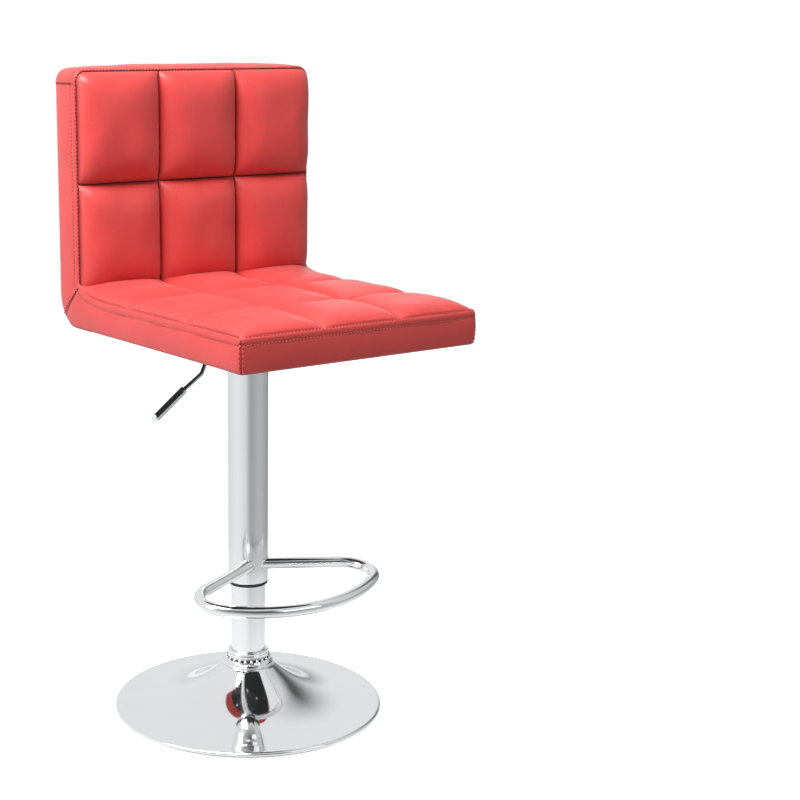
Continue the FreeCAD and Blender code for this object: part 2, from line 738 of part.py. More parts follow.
def seat_board():
    """Plywood seat panel."""
    board = box((-INNER_W, SEAT_FRONT_Y + LEATHER, BOARD_Z), (INNER_W, STEP_Y, BOARD_TOP_Z))
    board = round_edges(board, FRONT_CORNER_R - LEATHER, is_front_corner)
    step = UNDERSIDE_Z + LEATHER
    board = board.fuse(box((-INNER_W, STEP_Y, step), (INNER_W, HEEL_Y, BOARD_TOP_Z)))
    for x, y in plate_holes():
        board = board.cut(disc(BOLT_R, BOARD_Z, BOARD_TOP_Z, x, y))
        board = board.cut(disc(NUT_R, BOARD_Z + NUT_FLOOR, BOARD_TOP_Z, x, y))
    for x, y, z in seat_screw_places():
        board = board.cut(disc(SCREW_R, BOARD_TOP_Z - SCREW_L, BOARD_TOP_Z, x, y))
    return board.removeSplitter()


def back_board_space(rear):
    """Block from the back board's front face to a plane behind it."""
    half = INNER_W - BACK_BOARD_INSET
    low = (-half, REAR_IN_Y - BOARD_T, UNDERSIDE_Z + HEEL_R)
    return box(low, (half, rear, TOP_IN_Z - BACK_BOARD_INSET))


def back_board():
    """Plywood back panel."""
    board = back_board_space(REAR_IN_Y)
    for x, y, z in back_screw_places():
        board = board.cut(Part.makeCylinder(SCREW_R, SCREW_L, V(x, y, z), V(0, 1, 0)))
    return board


def iron_line():
    """Heights and depths that place the corner irons' bend."""
    front = REAR_IN_Y - BOARD_T - IRON_T
    return front - IRON_BEND_R, BOARD_TOP_Z + IRON_BEND_R


def corner_irons():
    """Two steel straps that join the seat board to the back board."""
    centre_y, bend_z = iron_line()
    centre_z = bend_z + IRON_T
    inner = IRON_BEND_R
    outer = inner + IRON_T
    c = math.sqrt(0.5)
    top = IRON_TOP_Z
    front = IRON_FRONT_Y
    points_out = (V(0, centre_y, centre_z - outer), V(0, centre_y + outer * c, centre_z - outer * c),
                  V(0, centre_y + outer, centre_z))
    points_in = (V(0, centre_y + inner, centre_z), V(0, centre_y + inner * c, centre_z - inner * c),
                 V(0, centre_y, centre_z - inner))
    edges = [
        Part.makeLine(V(0, front, centre_z - outer), points_out[0]),
        Part.Arc(*points_out).toShape(),
        Part.makeLine(points_out[2], V(0, centre_y + outer, top)),
        Part.makeLine(V(0, centre_y + outer, top), V(0, centre_y + inner, top)),
        Part.makeLine(V(0, centre_y + inner, top), points_in[0]),
        Part.Arc(*points_in).toShape(),
        Part.makeLine(points_in[2], V(0, front, centre_z - inner)),
        Part.makeLine(V(0, front, centre_z - inner), V(0, front, centre_z - outer)),
    ]
    strap = Part.Face(Part.Wire(edges)).extrude(V(IRON_W, 0, 0))
    for x, y, z in seat_screw_places() + back_screw_places():
        if x > 0:
            strap = strap.cut(screw_shank(x - IRON_X + IRON_W / 2, y, z))
    irons = []
    for side in (-1, 1):
        iron = strap.copy()
        iron.translate(V(side * IRON_X - IRON_W / 2, 0, 0))
        irons.append(iron)
    return Part.makeCompound(irons)


def seat_screw_places():
    return [(side * IRON_X, y, BOARD_TOP_Z) for side in (-1, 1) for y in SEAT_SCREW_Y]


def back_screw_places():
    return [(side * IRON_X, REAR_IN_Y - BOARD_T, z) for side in (-1, 1) for z in BACK_SCREW_Z]


def screw_shank(x, y, z):
    """Screw shank through a corner iron: upright in the seat board, level in the back board."""
    if z == BOARD_TOP_Z:
        return Part.makeCylinder(SCREW_R, SCREW_L + IRON_T, V(x, y, z - SCREW_L))
    return Part.makeCylinder(SCREW_R, SCREW_L + IRON_T, V(x, y - IRON_T, z), V(0, 1, 0))


def screw_head(x, y, z):
    sizes = (SCREW_HEAD_R, SCREW_HEAD_TOP_R, SCREW_HEAD_H)
    if z == BOARD_TOP_Z:
        return Part.makeCone(*sizes, V(x, y, z + IRON_T))
    return Part.makeCone(*sizes, V(x, y - IRON_T, z), V(0, -1, 0))


def corner_screws():
    places = seat_screw_places() + back_screw_places()
    return Part.makeCompound([union([screw_shank(*place), screw_head(*place)]) for place in places])


def seat_foam():
    """Foam block on the seat board, hollowed for the nuts and the irons."""
    rear = BACK_FACE_Y + PANEL_TUCK
    foam = box((-INNER_W, SEAT_FRONT_Y + LEATHER, BOARD_TOP_Z), (INNER_W, rear, SEAM_Z - PANEL_TUCK))
    foam = round_edges(foam, FRONT_CORNER_R - LEATHER, is_front_corner)
    return foam.cut(Part.makeCompound([tee_nuts(), corner_irons(), corner_screws()]))


def back_foam():
    """Foam in front of the back board and down into the heel."""
    block = heel_block(LEATHER)
    foam = block.common(box((-HALF_W, BACK_FACE_Y + PANEL_TUCK, BOARD_TOP_Z), (HALF_W, FAR, FAR)))
    foam = foam.cut(back_board_space(FAR))
    return foam.cut(Part.makeCompound([corner_irons(), corner_screws()]))


def quilted_slab(half_x, low_y, high_y, low, high):
    """Soft panel with rounded shoulders, crowned side up."""
    slab = box((-half_x, low_y, low), (half_x, high_y, high))
    upright = [edge for edge in slab.Edges if abs(edge.tangentAt(edge.FirstParameter).z) > 0.9]
    slab = slab.makeFillet(PANEL_CORNER_R, upright)
    rim = [edge for edge in slab.Edges if abs(edge.CenterOfMass.z - high) < 0.01]
    return slab.makeFillet((high - low) * SHOULDER_SHARE, rim)


def seat_panel():
    """Quilted leather top of the seat."""
    rear = BACK_FACE_Y + PANEL_TUCK
    return quilted_slab(INNER_W, SEAT_FRONT_Y + LEATHER, rear, SEAM_Z - PANEL_TUCK, SEAM_Z + PANEL_RISE)


def back_panel():
    """Quilted leather front of the back."""
    low = SEAM_Z + PANEL_RISE + 1
    height = TOP_IN_Z - low
    slab = quilted_slab(INNER_W, -height / 2, height / 2, 0, PANEL_RISE + PANEL_TUCK)
    slab.rotate(ORIGIN, V(1, 0, 0), 90)
    slab.translate(V(0, BACK_FACE_Y + PANEL_TUCK, low + height / 2))
    return slab.common(band_core())


BASE_PIECES = [
    floor_pad, base_dish, ballast_plate, column_flange, flange_bolts, pedestal_tube, guide_bush,
    bearing_race_lower, bearing_balls, ball_cage, trim_collar,
]
ROD_PIECES = [bearing_race_upper, rubber_bumper, piston_rod, rod_clip, piston, piston_seal]
FRAME_PIECES = [
    gas_cylinder, cylinder_gland, cone_hub, cover_tube, tube_ring, tube_adapter, footrest_loop,
    footrest_welds, seat_plate, lever_bracket, lever_pin, plate_bolts, plate_washers, tee_nuts,
]
SEAT_PIECES = [
    dust_cover, seat_board, back_board, corner_irons, corner_screws, seat_foam, back_foam, seat_panel,
    back_panel, side_band, rear_cover,
]
LEVER_PIECES = [release_button, lever_rod, lever_grip]


def main():
    os.makedirs("parts", exist_ok=True)
    for make in BASE_PIECES + ROD_PIECES + FRAME_PIECES + SEAT_PIECES + LEVER_PIECES:
        name = make.__name__
        shape = make()
        if not shape.isValid():
            raise ValueError(name + " is not a valid shape")
        print(name, len(shape.Solids), "solids,", round(shape.Volume / 1000, 2), "cm3")
        shape.exportStep("parts/" + name + ".step")


main()
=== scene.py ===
import json
import math

import bmesh
import bpy
import numpy as np
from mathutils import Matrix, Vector


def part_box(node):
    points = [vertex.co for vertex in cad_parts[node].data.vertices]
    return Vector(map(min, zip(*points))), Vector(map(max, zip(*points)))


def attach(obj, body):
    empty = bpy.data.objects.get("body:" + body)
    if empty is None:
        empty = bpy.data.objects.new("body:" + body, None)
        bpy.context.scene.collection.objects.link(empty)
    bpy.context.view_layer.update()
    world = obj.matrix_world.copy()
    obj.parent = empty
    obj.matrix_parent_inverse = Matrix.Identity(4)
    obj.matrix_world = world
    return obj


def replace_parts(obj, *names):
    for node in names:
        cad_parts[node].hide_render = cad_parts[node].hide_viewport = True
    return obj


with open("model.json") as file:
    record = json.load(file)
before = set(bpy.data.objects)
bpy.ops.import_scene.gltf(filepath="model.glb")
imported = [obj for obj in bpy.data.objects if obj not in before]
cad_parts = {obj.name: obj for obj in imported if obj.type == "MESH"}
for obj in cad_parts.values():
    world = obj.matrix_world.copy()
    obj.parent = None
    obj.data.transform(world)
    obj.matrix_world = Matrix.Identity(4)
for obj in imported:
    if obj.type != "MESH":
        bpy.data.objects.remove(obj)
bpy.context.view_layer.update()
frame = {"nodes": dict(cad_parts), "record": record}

bl_info = {
    "name": "Swivel Bar Stool",
    "version": (1, 0, 0),
    "blender": (4, 5, 0),
    "location": "View3D > Sidebar > Stool",
    "description": "Builds the visible pieces of an adjustable swivel stool on its packed frame",
    "category": "Object",
}

MM = 0.001

# Places read from the frame
BAND_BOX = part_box("side_band")
HALF_W = BAND_BOX[1].x
FRONT_Y = BAND_BOX[0].y
REAR_Y = BAND_BOX[1].y
UNDER_Z = BAND_BOX[0].z
TOP_Z = BAND_BOX[1].z
SEAM_LAP = 2 * MM
SEAM_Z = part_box("seat_panel")[0].z + SEAM_LAP
FACE_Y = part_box("back_panel")[1].y - SEAM_LAP
DISH_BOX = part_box("base_dish")
PAD_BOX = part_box("floor_pad")
COLLAR_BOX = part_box("trim_collar")
COLUMN_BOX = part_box("pedestal_tube")
COVER_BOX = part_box("cover_tube")
RING_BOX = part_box("tube_ring")

# Seat and back
SEAM_INSET = 3.4 * MM
HEEL_R = 45 * MM
TOP_R = 17 * MM
FRONT_R = 8 * MM
SKIN = 1.6 * MM
SEAT_ROWS = (-0.136, 0.005)
BACK_ROW = 0.752
COLUMNS = (-1, -1 / 3, 1 / 3, 1)
FILLET_RUN = 75 * MM
FILLET_RISE = 21 * MM
FLARE_OUT = 0.04
SIDE_BULGE = 3.0 * MM
TOP_CROWN = 4.0 * MM
STITCH_LIFT = 0.5 * MM
PUFF_POWER = 4.2
CLOTH_CELLS = 26
START_SHARE = 0.85
CLOTH_CAP = 14 * MM
CLOTH_FRAMES = 20
CLOTH_SETTINGS = {
    "quality": 6, "mass": 0.25, "tension_stiffness": 12, "compression_stiffness": 12, "shear_stiffness": 6,
    "bending_stiffness": 6, "use_pressure": True, "uniform_pressure_force": 4.0, "shrink_min": -0.035,
    "vertex_group_mass": "Sewn",
}

# Footrest, lever and base
BAR_R = 8 * MM
LOOP_ROOT_Z = 219 * MM
LOOP_FALL = 0.11
LOOP_REACH = 175 * MM
ARM_SPREAD = math.radians(23)
ARM_START_Y = -16 * MM
LOOP_CORNER_R = 40 * MM
LOOP_FRONT_R = 200 * MM
WELD_R = 2.2 * MM
WELD_RIPPLE = 0.28 * MM
WELD_LIFT = 0.3 * MM
LEVER_TURN = math.radians(20)
LEVER_Z = 541
LEVER_LINE = [(-4, LEVER_Z), (84.4, LEVER_Z), (106, 507.4), (145, 492.2), (160, 485.26)]
GRIP_LINE = [(145, 492.2), (206.7, 463.6)]
LEVER_BEND_R = 9 * MM
GRIP_STOPS = [(0, 3.2), (0.05, 4.2), (0.35, 4.9), (0.9, 5.35), (1.6, 5.5), (4.0, 5.5), (4.4, 5.3), (4.9, 5.15),
              (5.4, 5.3), (5.8, 5.5)]
LEVER_R = 3 * MM
PIVOT_REACH = 30
EYE_R = 5.5 * MM
EYE_HALF = 4.1 * MM
DISH_TOP_Z = 64 * MM
DISH_EDGE_Z = 8.2 * MM
DISH_EDGE_R = 188 * MM
THROAT_R = 36 * MM
FLARE = 2.6
SHEET = 1.5 * MM
FIT = 0.1 * MM
STUD_RING_R = 30.6 * MM
STUD_RISE = 10 * MM
STUD_R = 2.4 * MM
RECESS_R = (30.9 * MM, 27 * MM)
RECESS_RISE = (7.9 * MM, 12.1 * MM)
COLLAR_SIDE = [
    (35.2, 0.0), (35.7, 0.25), (36.0, 0.8), (36.2, 1.8), (36.0, 2.8), (35.6, 3.35), (35.0, 3.7),
    (34.2, 4.1), (33.1, 5.1), (32.2, 6.5), (31.3, 8.0), (30.6, 9.5), (29.9, 11.2), (29.4, 13.0),
    (29.0, 14.8), (28.8, 16.6), (28.9, 17.4), (29.0, 18.6), (29.0, 20.4), (28.8, 21.5), (28.3, 22.2),
    (27.6, 22.5), (26.0, 22.5), (25.2, 22.2),
]

# Room brightness by direction, as (share of a turn from behind round by -X and the front, tone):
# low lies below the horizon, pale behind and to -X, dim in front and to +X; high lies above it, with a dark
# screen in front and another behind to +X.
LOW_TONES = [(0.0, 0.8), (0.25, 0.9), (0.35, 0.8), (0.45, 0.4), (0.6, 0.5), (0.75, 0.4), (0.85, 0.25),
             (0.92, 0.75)]
HIGH_TONES = [(0.0, 0.85), (0.25, 0.9), (0.35, 0.35), (0.45, 0.12), (0.55, 0.12), (0.65, 0.7), (0.75, 0.6),
              (0.8, 0.1), (0.88, 0.85)]
CROWN_TONE = 0.85
SKY_GLOW = 0.3
FLOOR_GLOW = 0.75
FLOOR_R = 3.0

# Camera: degrees round from the front and down from level, metres from the axis and up, millimetres of lens
CAMERA_TURN = -34.0
CAMERA_DIP = 12.5
CAMERA_AWAY = 2.276
CAMERA_HEIGHT = 0.957
CAMERA_LENS = 74.925
CAMERA_SHIFT = 0.190

# Lights: place, target, size and power
LIGHTS = {
    "Key_light": ((-1.0, -0.37, 2.25), (0, -0.1, 0.6), (1.2, 0.9), 62),
    "Side_light": ((-2.6, 0.2, 1.6), (0, 0, 0.6), (1.2, 1.6), 25),
    "Fill_light": ((1.0, -3.2, 1.9), (0, 0, 0.6), (2.0, 2.0), 13),
}

# Filled by the cushions and covers, read by the stitching: for each piece its (line, outward) seams
SEWN = {}


# ---------------------------------------------------------------- mesh tools

def solid(name, points, faces, material, smooth=True, marks=None):
    """A mesh object at the origin from points, faces and optional point values."""
    mesh = bpy.data.meshes.new(name)
    mesh.from_pydata([tuple(p) for p in np.asarray(points, float)], [], [tuple(map(int, f)) for f in faces])
    mesh.validate()
    mesh.polygons.foreach_set("use_smooth", [smooth] * len(mesh.polygons))
    for key, values in (marks or {}).items():
        layer = mesh.attributes.new(key, "FLOAT", "POINT")
        layer.data.foreach_set("value", np.asarray(values, np.float32))
    mesh.materials.append(material)
    mesh.update()
    made = bpy.data.objects.new(name, mesh)
    bpy.context.scene.collection.objects.link(made)
    return made


def weave(rows, cols, ring_rows=False, ring_cols=False, start=0):
    """Quads over a rows x cols lattice of points."""
    faces = []
    for i in range(rows if ring_rows else rows - 1):
        for j in range(cols if ring_cols else cols - 1):
            a = start + i * cols + j
            b = start + i * cols + (j + 1) % cols
            c = start + ((i + 1) % rows) * cols + (j + 1) % cols
            d = start + ((i + 1) % rows) * cols + j
            faces.append((a, b, c, d))
    return faces


def lathe(outline, steps):
    """Points and faces of a closed outline of (radius, height) turned about the swivel axis."""
    outline = np.asarray(outline, float)
    turns = np.linspace(0, 2 * math.pi, steps, endpoint=False)
    points = np.zeros((steps, len(outline), 3))
    points[:, :, 0] = np.cos(turns)[:, None] * outline[:, 0]
    points[:, :, 1] = np.sin(turns)[:, None] * outline[:, 0]
    points[:, :, 2] = outline[:, 1]
    return points.reshape(-1, 3), weave(steps, len(outline), True, True)


def sweep(path, radii, sides, closed=True):
    """A round bar along a path, with a radius at each point, closed at both ends or left open."""
    path = np.asarray(path, float)
    radii = np.broadcast_to(np.asarray(radii, float), (len(path),))
    along = np.gradient(path, axis=0)
    along /= np.linalg.norm(along, axis=1)[:, None]
    side = np.cross(along[0], (0, 0, 1.0))
    if np.linalg.norm(side) < 1e-6:
        side = np.array((1.0, 0, 0))
    rings = []
    angles = np.linspace(0, 2 * math.pi, sides, endpoint=False)
    for centre, forward, radius in zip(path, along, radii):
        side = side - forward * side.dot(forward)
        side /= np.linalg.norm(side)
        up = np.cross(forward, side)
        rings.append(centre + radius * (np.cos(angles)[:, None] * side + np.sin(angles)[:, None] * up))
    points = np.concatenate(rings)
    faces = [f[::-1] for f in weave(len(path), sides, False, True)]
    if closed:
        last = (len(path) - 1) * sides
        faces.append(tuple(range(sides)))
        faces.append(tuple(range(last + sides - 1, last - 1, -1)))
    return points, faces


def rounded(points, radius, step):
    """A path through points whose corners are rounded, in short steps."""
    points = [Vector(p) for p in points]
    path = [points[0]]
    for before, corner, after in zip(points, points[1:], points[2:]):
        back = (before - corner).normalized()
        ahead = (after - corner).normalized()
        half = back.angle(ahead) / 2
        reach = radius / math.tan(half)
        centre = corner + (back + ahead).normalized() * (radius / math.sin(half))
        start = corner + back * reach - centre
        end = corner + ahead * reach - centre
        turn = start.angle(end)
        count = max(3, int(turn * radius / step))
        for i in range(count + 1):
            share = i / count
            mix = (start * math.sin((1 - share) * turn) + end * math.sin(share * turn)) / math.sin(turn)
            path.append(centre + mix)
    path.append(points[-1])
    filled = [path[0]]
    for here, there in zip(path, path[1:]):
        count = max(1, int((there - here).length / (3 * step)))
        filled += [here.lerp(there, (i + 1) / count) for i in range(count)]
    return np.array([tuple(p) for p in filled])


def merge(parts):
    """Join several (points, faces) into one."""
    points, faces, start = [], [], 0
    for part_points, part_faces in parts:
        points.append(np.asarray(part_points, float))
        faces += [tuple(start + i for i in f) for f in part_faces]
        start += len(part_points)
    return np.concatenate(points), faces


def seeded_waves(seed, count, low, high):
    """Directions, wave numbers and phases of a few waves, the same on every run."""
    random = np.random.default_rng(seed)
    lengths = random.uniform(low, high, count)
    turns = random.uniform(0, 2 * math.pi, count)
    phases = random.uniform(0, 2 * math.pi, count)
    return np.stack([np.cos(turns) / lengths, np.sin(turns) / lengths, phases / (2 * math.pi)])


def waves(u, v, seed, count, low, high):
    """Smooth random height, about -1 to 1, over two lengths."""
    kx, ky, phase = seeded_waves(seed, count, low, high)
    total = np.zeros(np.broadcast(u, v).shape)
    for a, b, c in zip(kx, ky, phase):
        total = total + np.sin(2 * math.pi * (a * u + b * v + c))
    return total / math.sqrt(count)


# ---------------------------------------------------------------- materials

def node(tree, kind, inputs=None, **settings):
    """Add a shader or geometry node, set it up and connect it."""
    made = tree.nodes.new(kind)
    for key, value in settings.items():
        setattr(made, key, value)
    for key, value in (inputs or {}).items():
        if isinstance(value, bpy.types.NodeSocket):
            tree.links.new(value, made.inputs[key])
        else:
            made.inputs[key].default_value = value
    return made


def maths(tree, operation, a, b=0.0):
    return node(tree, "ShaderNodeMath", {0: a, 1: b}, operation=operation).outputs[0]


def effect(name, inputs, outputs):
    """An empty shader node group with named sockets, and its two end nodes."""
    tree = bpy.data.node_groups.new(name, "ShaderNodeTree")
    for key, value in inputs:
        kind = "NodeSocketVector" if isinstance(value, tuple) else "NodeSocketFloat"
        tree.interface.new_socket(key, in_out="INPUT", socket_type=kind).default_value = value
    for key in outputs:
        tree.interface.new_socket(key, in_out="OUTPUT", socket_type="NodeSocketFloat")
    return tree, tree.nodes.new("NodeGroupInput"), tree.nodes.new("NodeGroupOutput")


def pebble_grain():
    """Height of a fine pebbled leather grain, and a slow change of tone."""
    tree, start, end = effect("Pebble grain", [("Cell size", 1.1 * MM), ("Tone size", 0.08)], ["Height", "Tone"])
    place = node(tree, "ShaderNodeTexCoord").outputs["Object"]
    fine = maths(tree, "DIVIDE", 1.0, start.outputs["Cell size"])
    slow = maths(tree, "DIVIDE", 1.0, start.outputs["Tone size"])
    cells = node(tree, "ShaderNodeTexVoronoi", {"Vector": place, "Scale": fine, "Randomness": 0.9},
                 feature="SMOOTH_F1")
    pores = node(tree, "ShaderNodeTexNoise", {"Vector": place, "Scale": fine, "Detail": 2.0})
    raised = maths(tree, "SUBTRACT", 1.0, cells.outputs["Distance"])
    height = maths(tree, "ADD", raised, maths(tree, "MULTIPLY", pores.outputs["Fac"], 0.35))
    tone = node(tree, "ShaderNodeTexNoise", {"Vector": place, "Scale": slow, "Detail": 3.0})
    tree.links.new(height, end.inputs["Height"])
    tree.links.new(tone.outputs["Fac"], end.inputs["Tone"])
    return tree


def handling_marks():
    """Faint smears and fine scratches, as two masks from 0 to 1."""
    tree, start, end = effect("Handling marks", [("Smear size", 0.05), ("Scratch size", 0.6 * MM)],
                              ["Smear", "Scratch"])
    place = node(tree, "ShaderNodeTexCoord").outputs["Object"]
    slow = maths(tree, "DIVIDE", 1.0, start.outputs["Smear size"])
    fine = maths(tree, "DIVIDE", 1.0, start.outputs["Scratch size"])
    smear = node(tree, "ShaderNodeTexNoise", {"Vector": place, "Scale": slow, "Detail": 4.0, "Roughness": 0.6})
    drawn = node(tree, "ShaderNodeMapping", {"Vector": place, "Rotation": (0.3, 0.5, 0.2),
                                             "Scale": (1.0, 0.04, 1.0)})
    scratch = node(tree, "ShaderNodeTexNoise", {"Vector": drawn.outputs[0], "Scale": fine, "Detail": 2.0})
    cut = node(tree, "ShaderNodeMapRange", {"Value": scratch.outputs["Fac"], "From Min": 0.62, "From Max": 0.75})
    tree.links.new(smear.outputs["Fac"], end.inputs["Smear"])
    tree.links.new(cut.outputs[0], end.inputs["Scratch"])
    return tree


def tone_ramp(tree, share, stops):
    """Grey tone for a share from 0 to 1, eased between stops of (share, tone)."""
    ramp = node(tree, "ShaderNodeValToRGB", {0: share})
    ramp.color_ramp.interpolation = "EASE"
    bands = ramp.color_ramp.elements
    while len(bands) < len(stops):
        bands.new(0.5)
    for band, (place, tone) in zip(bands, stops):
        band.position = place
        band.color = (tone, tone, tone, 1)
    return ramp.outputs[0]


def studio_tones():
    """Brightness of the room in each direction, as polished metal sees it."""
    tree, start, end = effect("Studio tones", [("Direction", (0.0, 0.0, 0.0))], ["Tone"])
    way = node(tree, "ShaderNodeSeparateXYZ", {0: start.outputs["Direction"]})
    turn = maths(tree, "ARCTAN2", way.outputs["X"], maths(tree, "MULTIPLY", way.outputs["Y"], -1.0))
    share = node(tree, "ShaderNodeMapRange", {"Value": turn, "From Min": -math.pi,
                                              "From Max": math.pi}).outputs[0]
    low = tone_ramp(tree, share, LOW_TONES)
    high = tone_ramp(tree, share, HIGH_TONES)
    up = way.outputs["Z"]
    climb = node(tree, "ShaderNodeMapRange", {"Value": up, "From Min": 0.0, "From Max": 0.2}).outputs[0]
    crown = node(tree, "ShaderNodeMapRange", {"Value": up, "From Min": 0.6, "From Max": 0.9}).outputs[0]
    side = node(tree, "ShaderNodeMix", {0: climb, 2: low, 3: high}).outputs[0]
    whole = node(tree, "ShaderNodeMix", {0: crown, 2: side, 3: CROWN_TONE}).outputs[0]
    tree.links.new(whole, end.inputs["Tone"])
    return tree


def group(tree, name, values=None):
    made = node(tree, "ShaderNodeGroup", node_tree=bpy.data.node_groups[name])
    for key, value in (values or {}).items():
        made.inputs[key].default_value = value
    return made


def finish(name, **sockets):
    """A new material with one Principled shader whose plain sockets are set."""
    made = bpy.data.materials.new(name)
    made.use_nodes = True
    shader = made.node_tree.nodes["Principled BSDF"]
    for key, value in sockets.items():
        shader.inputs[key.replace("_", " ")].default_value = value
    return made, made.node_tree, shader


def blend_colours(tree, share, a, b):
    return node(tree, "ShaderNodeMix", {0: share, 6: a, 7: b}, data_type="RGBA").outputs[2]


def bump(tree, height, strength, depth):
    return node(tree, "ShaderNodeBump", {"Height": height, "Strength": strength, "Distance": depth}).outputs[0]


def tinted(colour, factor):
    return tuple(min(1.0, c * factor) for c in colour[:3]) + (1.0,)


def leather(name, colour, cell, depth):
    """Soft satin synthetic leather, with painted shade along its seams: darker and less glossy where the mesh's
    point value marks it.
    """
    made, tree, shader = finish(name, Coat_Weight=0.2, Coat_Roughness=0.35,
                                Sheen_Weight=0.2, Sheen_Roughness=0.4)
    grain = group(tree, "Pebble grain", {"Cell size": cell})
    marks = group(tree, "Handling marks")
    # Painted shade: a point value, high in the seam grooves and on hidden inner faces, darkens the colour and dims
    # the gloss there
    sewn = node(tree, "ShaderNodeAttribute", attribute_name="sewn").outputs["Fac"]
    tone = node(tree, "ShaderNodeMapRange", {"Value": grain.outputs["Tone"], "From Min": 0.3, "From Max": 0.7})
    body = blend_colours(tree, tone.outputs[0], tinted(colour, 0.94), tinted(colour, 1.05))
    pit = node(tree, "ShaderNodeMapRange", {"Value": grain.outputs["Height"], "From Min": 0.3, "From Max": 0.75,
                                            "To Min": 0.35, "To Max": 0.0})
    body = blend_colours(tree, pit.outputs[0], body, tinted(colour, 0.6))
    body = blend_colours(tree, sewn, body, tinted(colour, 0.3))
    rough = node(tree, "ShaderNodeMapRange", {"Value": marks.outputs["Smear"], "To Min": 0.4, "To Max": 0.54})
    gloss = node(tree, "ShaderNodeMapRange", {"Value": sewn, "To Min": 0.45, "To Max": 0.05})
    tree.links.new(gloss.outputs[0], shader.inputs["Specular IOR Level"])
    tree.links.new(body, shader.inputs["Base Color"])
    tree.links.new(rough.outputs[0], shader.inputs["Roughness"])
    tree.links.new(bump(tree, grain.outputs["Height"], 0.35, depth), shader.inputs["Normal"])
    return made


def chrome(name, low, high, colour=(0.86, 0.87, 0.88, 1.0)):
    """Plated metal whose gloss falls a little where it has been handled."""
    made, tree, shader = finish(name, Metallic=1.0)
    marks = group(tree, "Handling marks", {"Smear size": 0.06})
    worn = maths(tree, "MULTIPLY", marks.outputs["Scratch"], 0.12)
    rough = node(tree, "ShaderNodeMapRange", {"Value": marks.outputs["Smear"], "From Min": 0.3, "From Max": 0.7,
                                              "To Min": low, "To Max": high})
    tree.links.new(maths(tree, "ADD", rough.outputs[0], worn), shader.inputs["Roughness"])
    body = blend_colours(tree, marks.outputs["Smear"], tinted(colour, 0.97), tinted(colour, 1.02))
    tree.links.new(body, shader.inputs["Base Color"])
    tree.links.new(bump(tree, marks.outputs["Scratch"], 0.03, 0.05 * MM), shader.inputs["Normal"])
    return made


def speckled(name, colour, rough, cell, depth, metal=0.0, contrast=0.3):
    """Cast, moulded, painted or plated surface with a fine texture."""
    made, tree, shader = finish(name, Metallic=metal)
    grain = group(tree, "Pebble grain", {"Cell size": cell, "Tone size": cell * 30})
    marks = group(tree, "Handling marks")
    body = blend_colours(tree, grain.outputs["Tone"], tinted(colour, 1 - contrast), tinted(colour, 1 + contrast))
    span = node(tree, "ShaderNodeMapRange", {"Value": marks.outputs["Smear"], "To Min": rough - 0.08,
                                             "To Max": rough + 0.08})
    tree.links.new(body, shader.inputs["Base Color"])
    tree.links.new(span.outputs[0], shader.inputs["Roughness"])
    tree.links.new(bump(tree, grain.outputs["Height"], 0.4, depth), shader.inputs["Normal"])
    return made


def ply(name, colour):
    """Raw plywood: long grain on its faces."""
    made, tree, shader = finish(name, Roughness=0.7)
    place = node(tree, "ShaderNodeTexCoord").outputs["Object"]
    drawn = node(tree, "ShaderNodeMapping", {"Vector": place, "Scale": (12.0, 0.8, 12.0)}).outputs[0]
    lines = node(tree, "ShaderNodeTexNoise", {"Vector": drawn, "Scale": 14.0, "Detail": 6.0})
    body = blend_colours(tree, lines.outputs["Fac"], tinted(colour, 0.6), tinted(colour, 1.25))
    tree.links.new(body, shader.inputs["Base Color"])
    tree.links.new(bump(tree, lines.outputs["Fac"], 0.2, 0.3 * MM), shader.inputs["Normal"])
    return made


def cloth(name, colour, pitch):
    """Thin bonded cloth with a dimpled bond pattern."""
    made, tree, shader = finish(name, Roughness=0.9, Sheen_Weight=0.2)
    place = node(tree, "ShaderNodeTexCoord").outputs["Object"]
    dots = node(tree, "ShaderNodeTexVoronoi", {"Vector": place, "Scale": 1 / pitch, "Randomness": 0.0})
    fibre = node(tree, "ShaderNodeTexNoise", {"Vector": place, "Scale": 1200.0, "Detail": 2.0})
    height = maths(tree, "ADD", dots.outputs["Distance"], maths(tree, "MULTIPLY", fibre.outputs["Fac"], 0.4))
    body = blend_colours(tree, height, tinted(colour, 0.6), tinted(colour, 1.5))
    tree.links.new(body, shader.inputs["Base Color"])
    tree.links.new(bump(tree, height, 0.5, 0.2 * MM), shader.inputs["Normal"])
    return made


def material(name):
    return bpy.data.materials[name]


def make_finishes(sizes):
    """Every finish on the stool, made once."""
    pebble_grain()
    handling_marks()
    studio_tones()
    red = tuple(sizes.leather_colour)
    leather("Red leather", red, sizes.grain_size, 0.12 * MM)
    chrome("Mirror chrome", sizes.chrome_roughness, sizes.chrome_roughness + 0.05)
    chrome("Satin chrome", 0.13, 0.18)
    speckled("Red thread", tuple(sizes.thread_colour), 0.6, 0.4 * MM, 0.05 * MM)
    # Near-black beads painted as the shade inside needle holes
    speckled("Needle hole shade", tinted(red, 0.05), 0.8, 0.4 * MM, 0.05 * MM)
    speckled("black_rubber", (0.03, 0.03, 0.03), 0.75, 0.8 * MM, 0.1 * MM)
    speckled("cast_iron", (0.12, 0.12, 0.13), 0.7, 1.6 * MM, 0.3 * MM, 0.6)
    speckled("zinc_steel", (0.62, 0.63, 0.64), 0.35, 3.0 * MM, 0.02 * MM, 1.0, 0.12)
    speckled("black_plastic", (0.02, 0.02, 0.022), 0.4, 0.7 * MM, 0.04 * MM)
    speckled("red_plastic", (0.6, 0.06, 0.05), 0.4, 0.7 * MM, 0.04 * MM)
    speckled("black_steel", (0.03, 0.03, 0.032), 0.45, 0.5 * MM, 0.05 * MM, 0.0, 0.2)
    speckled("foam", (0.85, 0.8, 0.62), 0.95, 1.2 * MM, 0.4 * MM)
    ply("plywood", (0.62, 0.46, 0.29))
    cloth("black_cloth", (0.03, 0.03, 0.03), 2.2 * MM)


# ---------------------------------------------------------------- quilted cushions

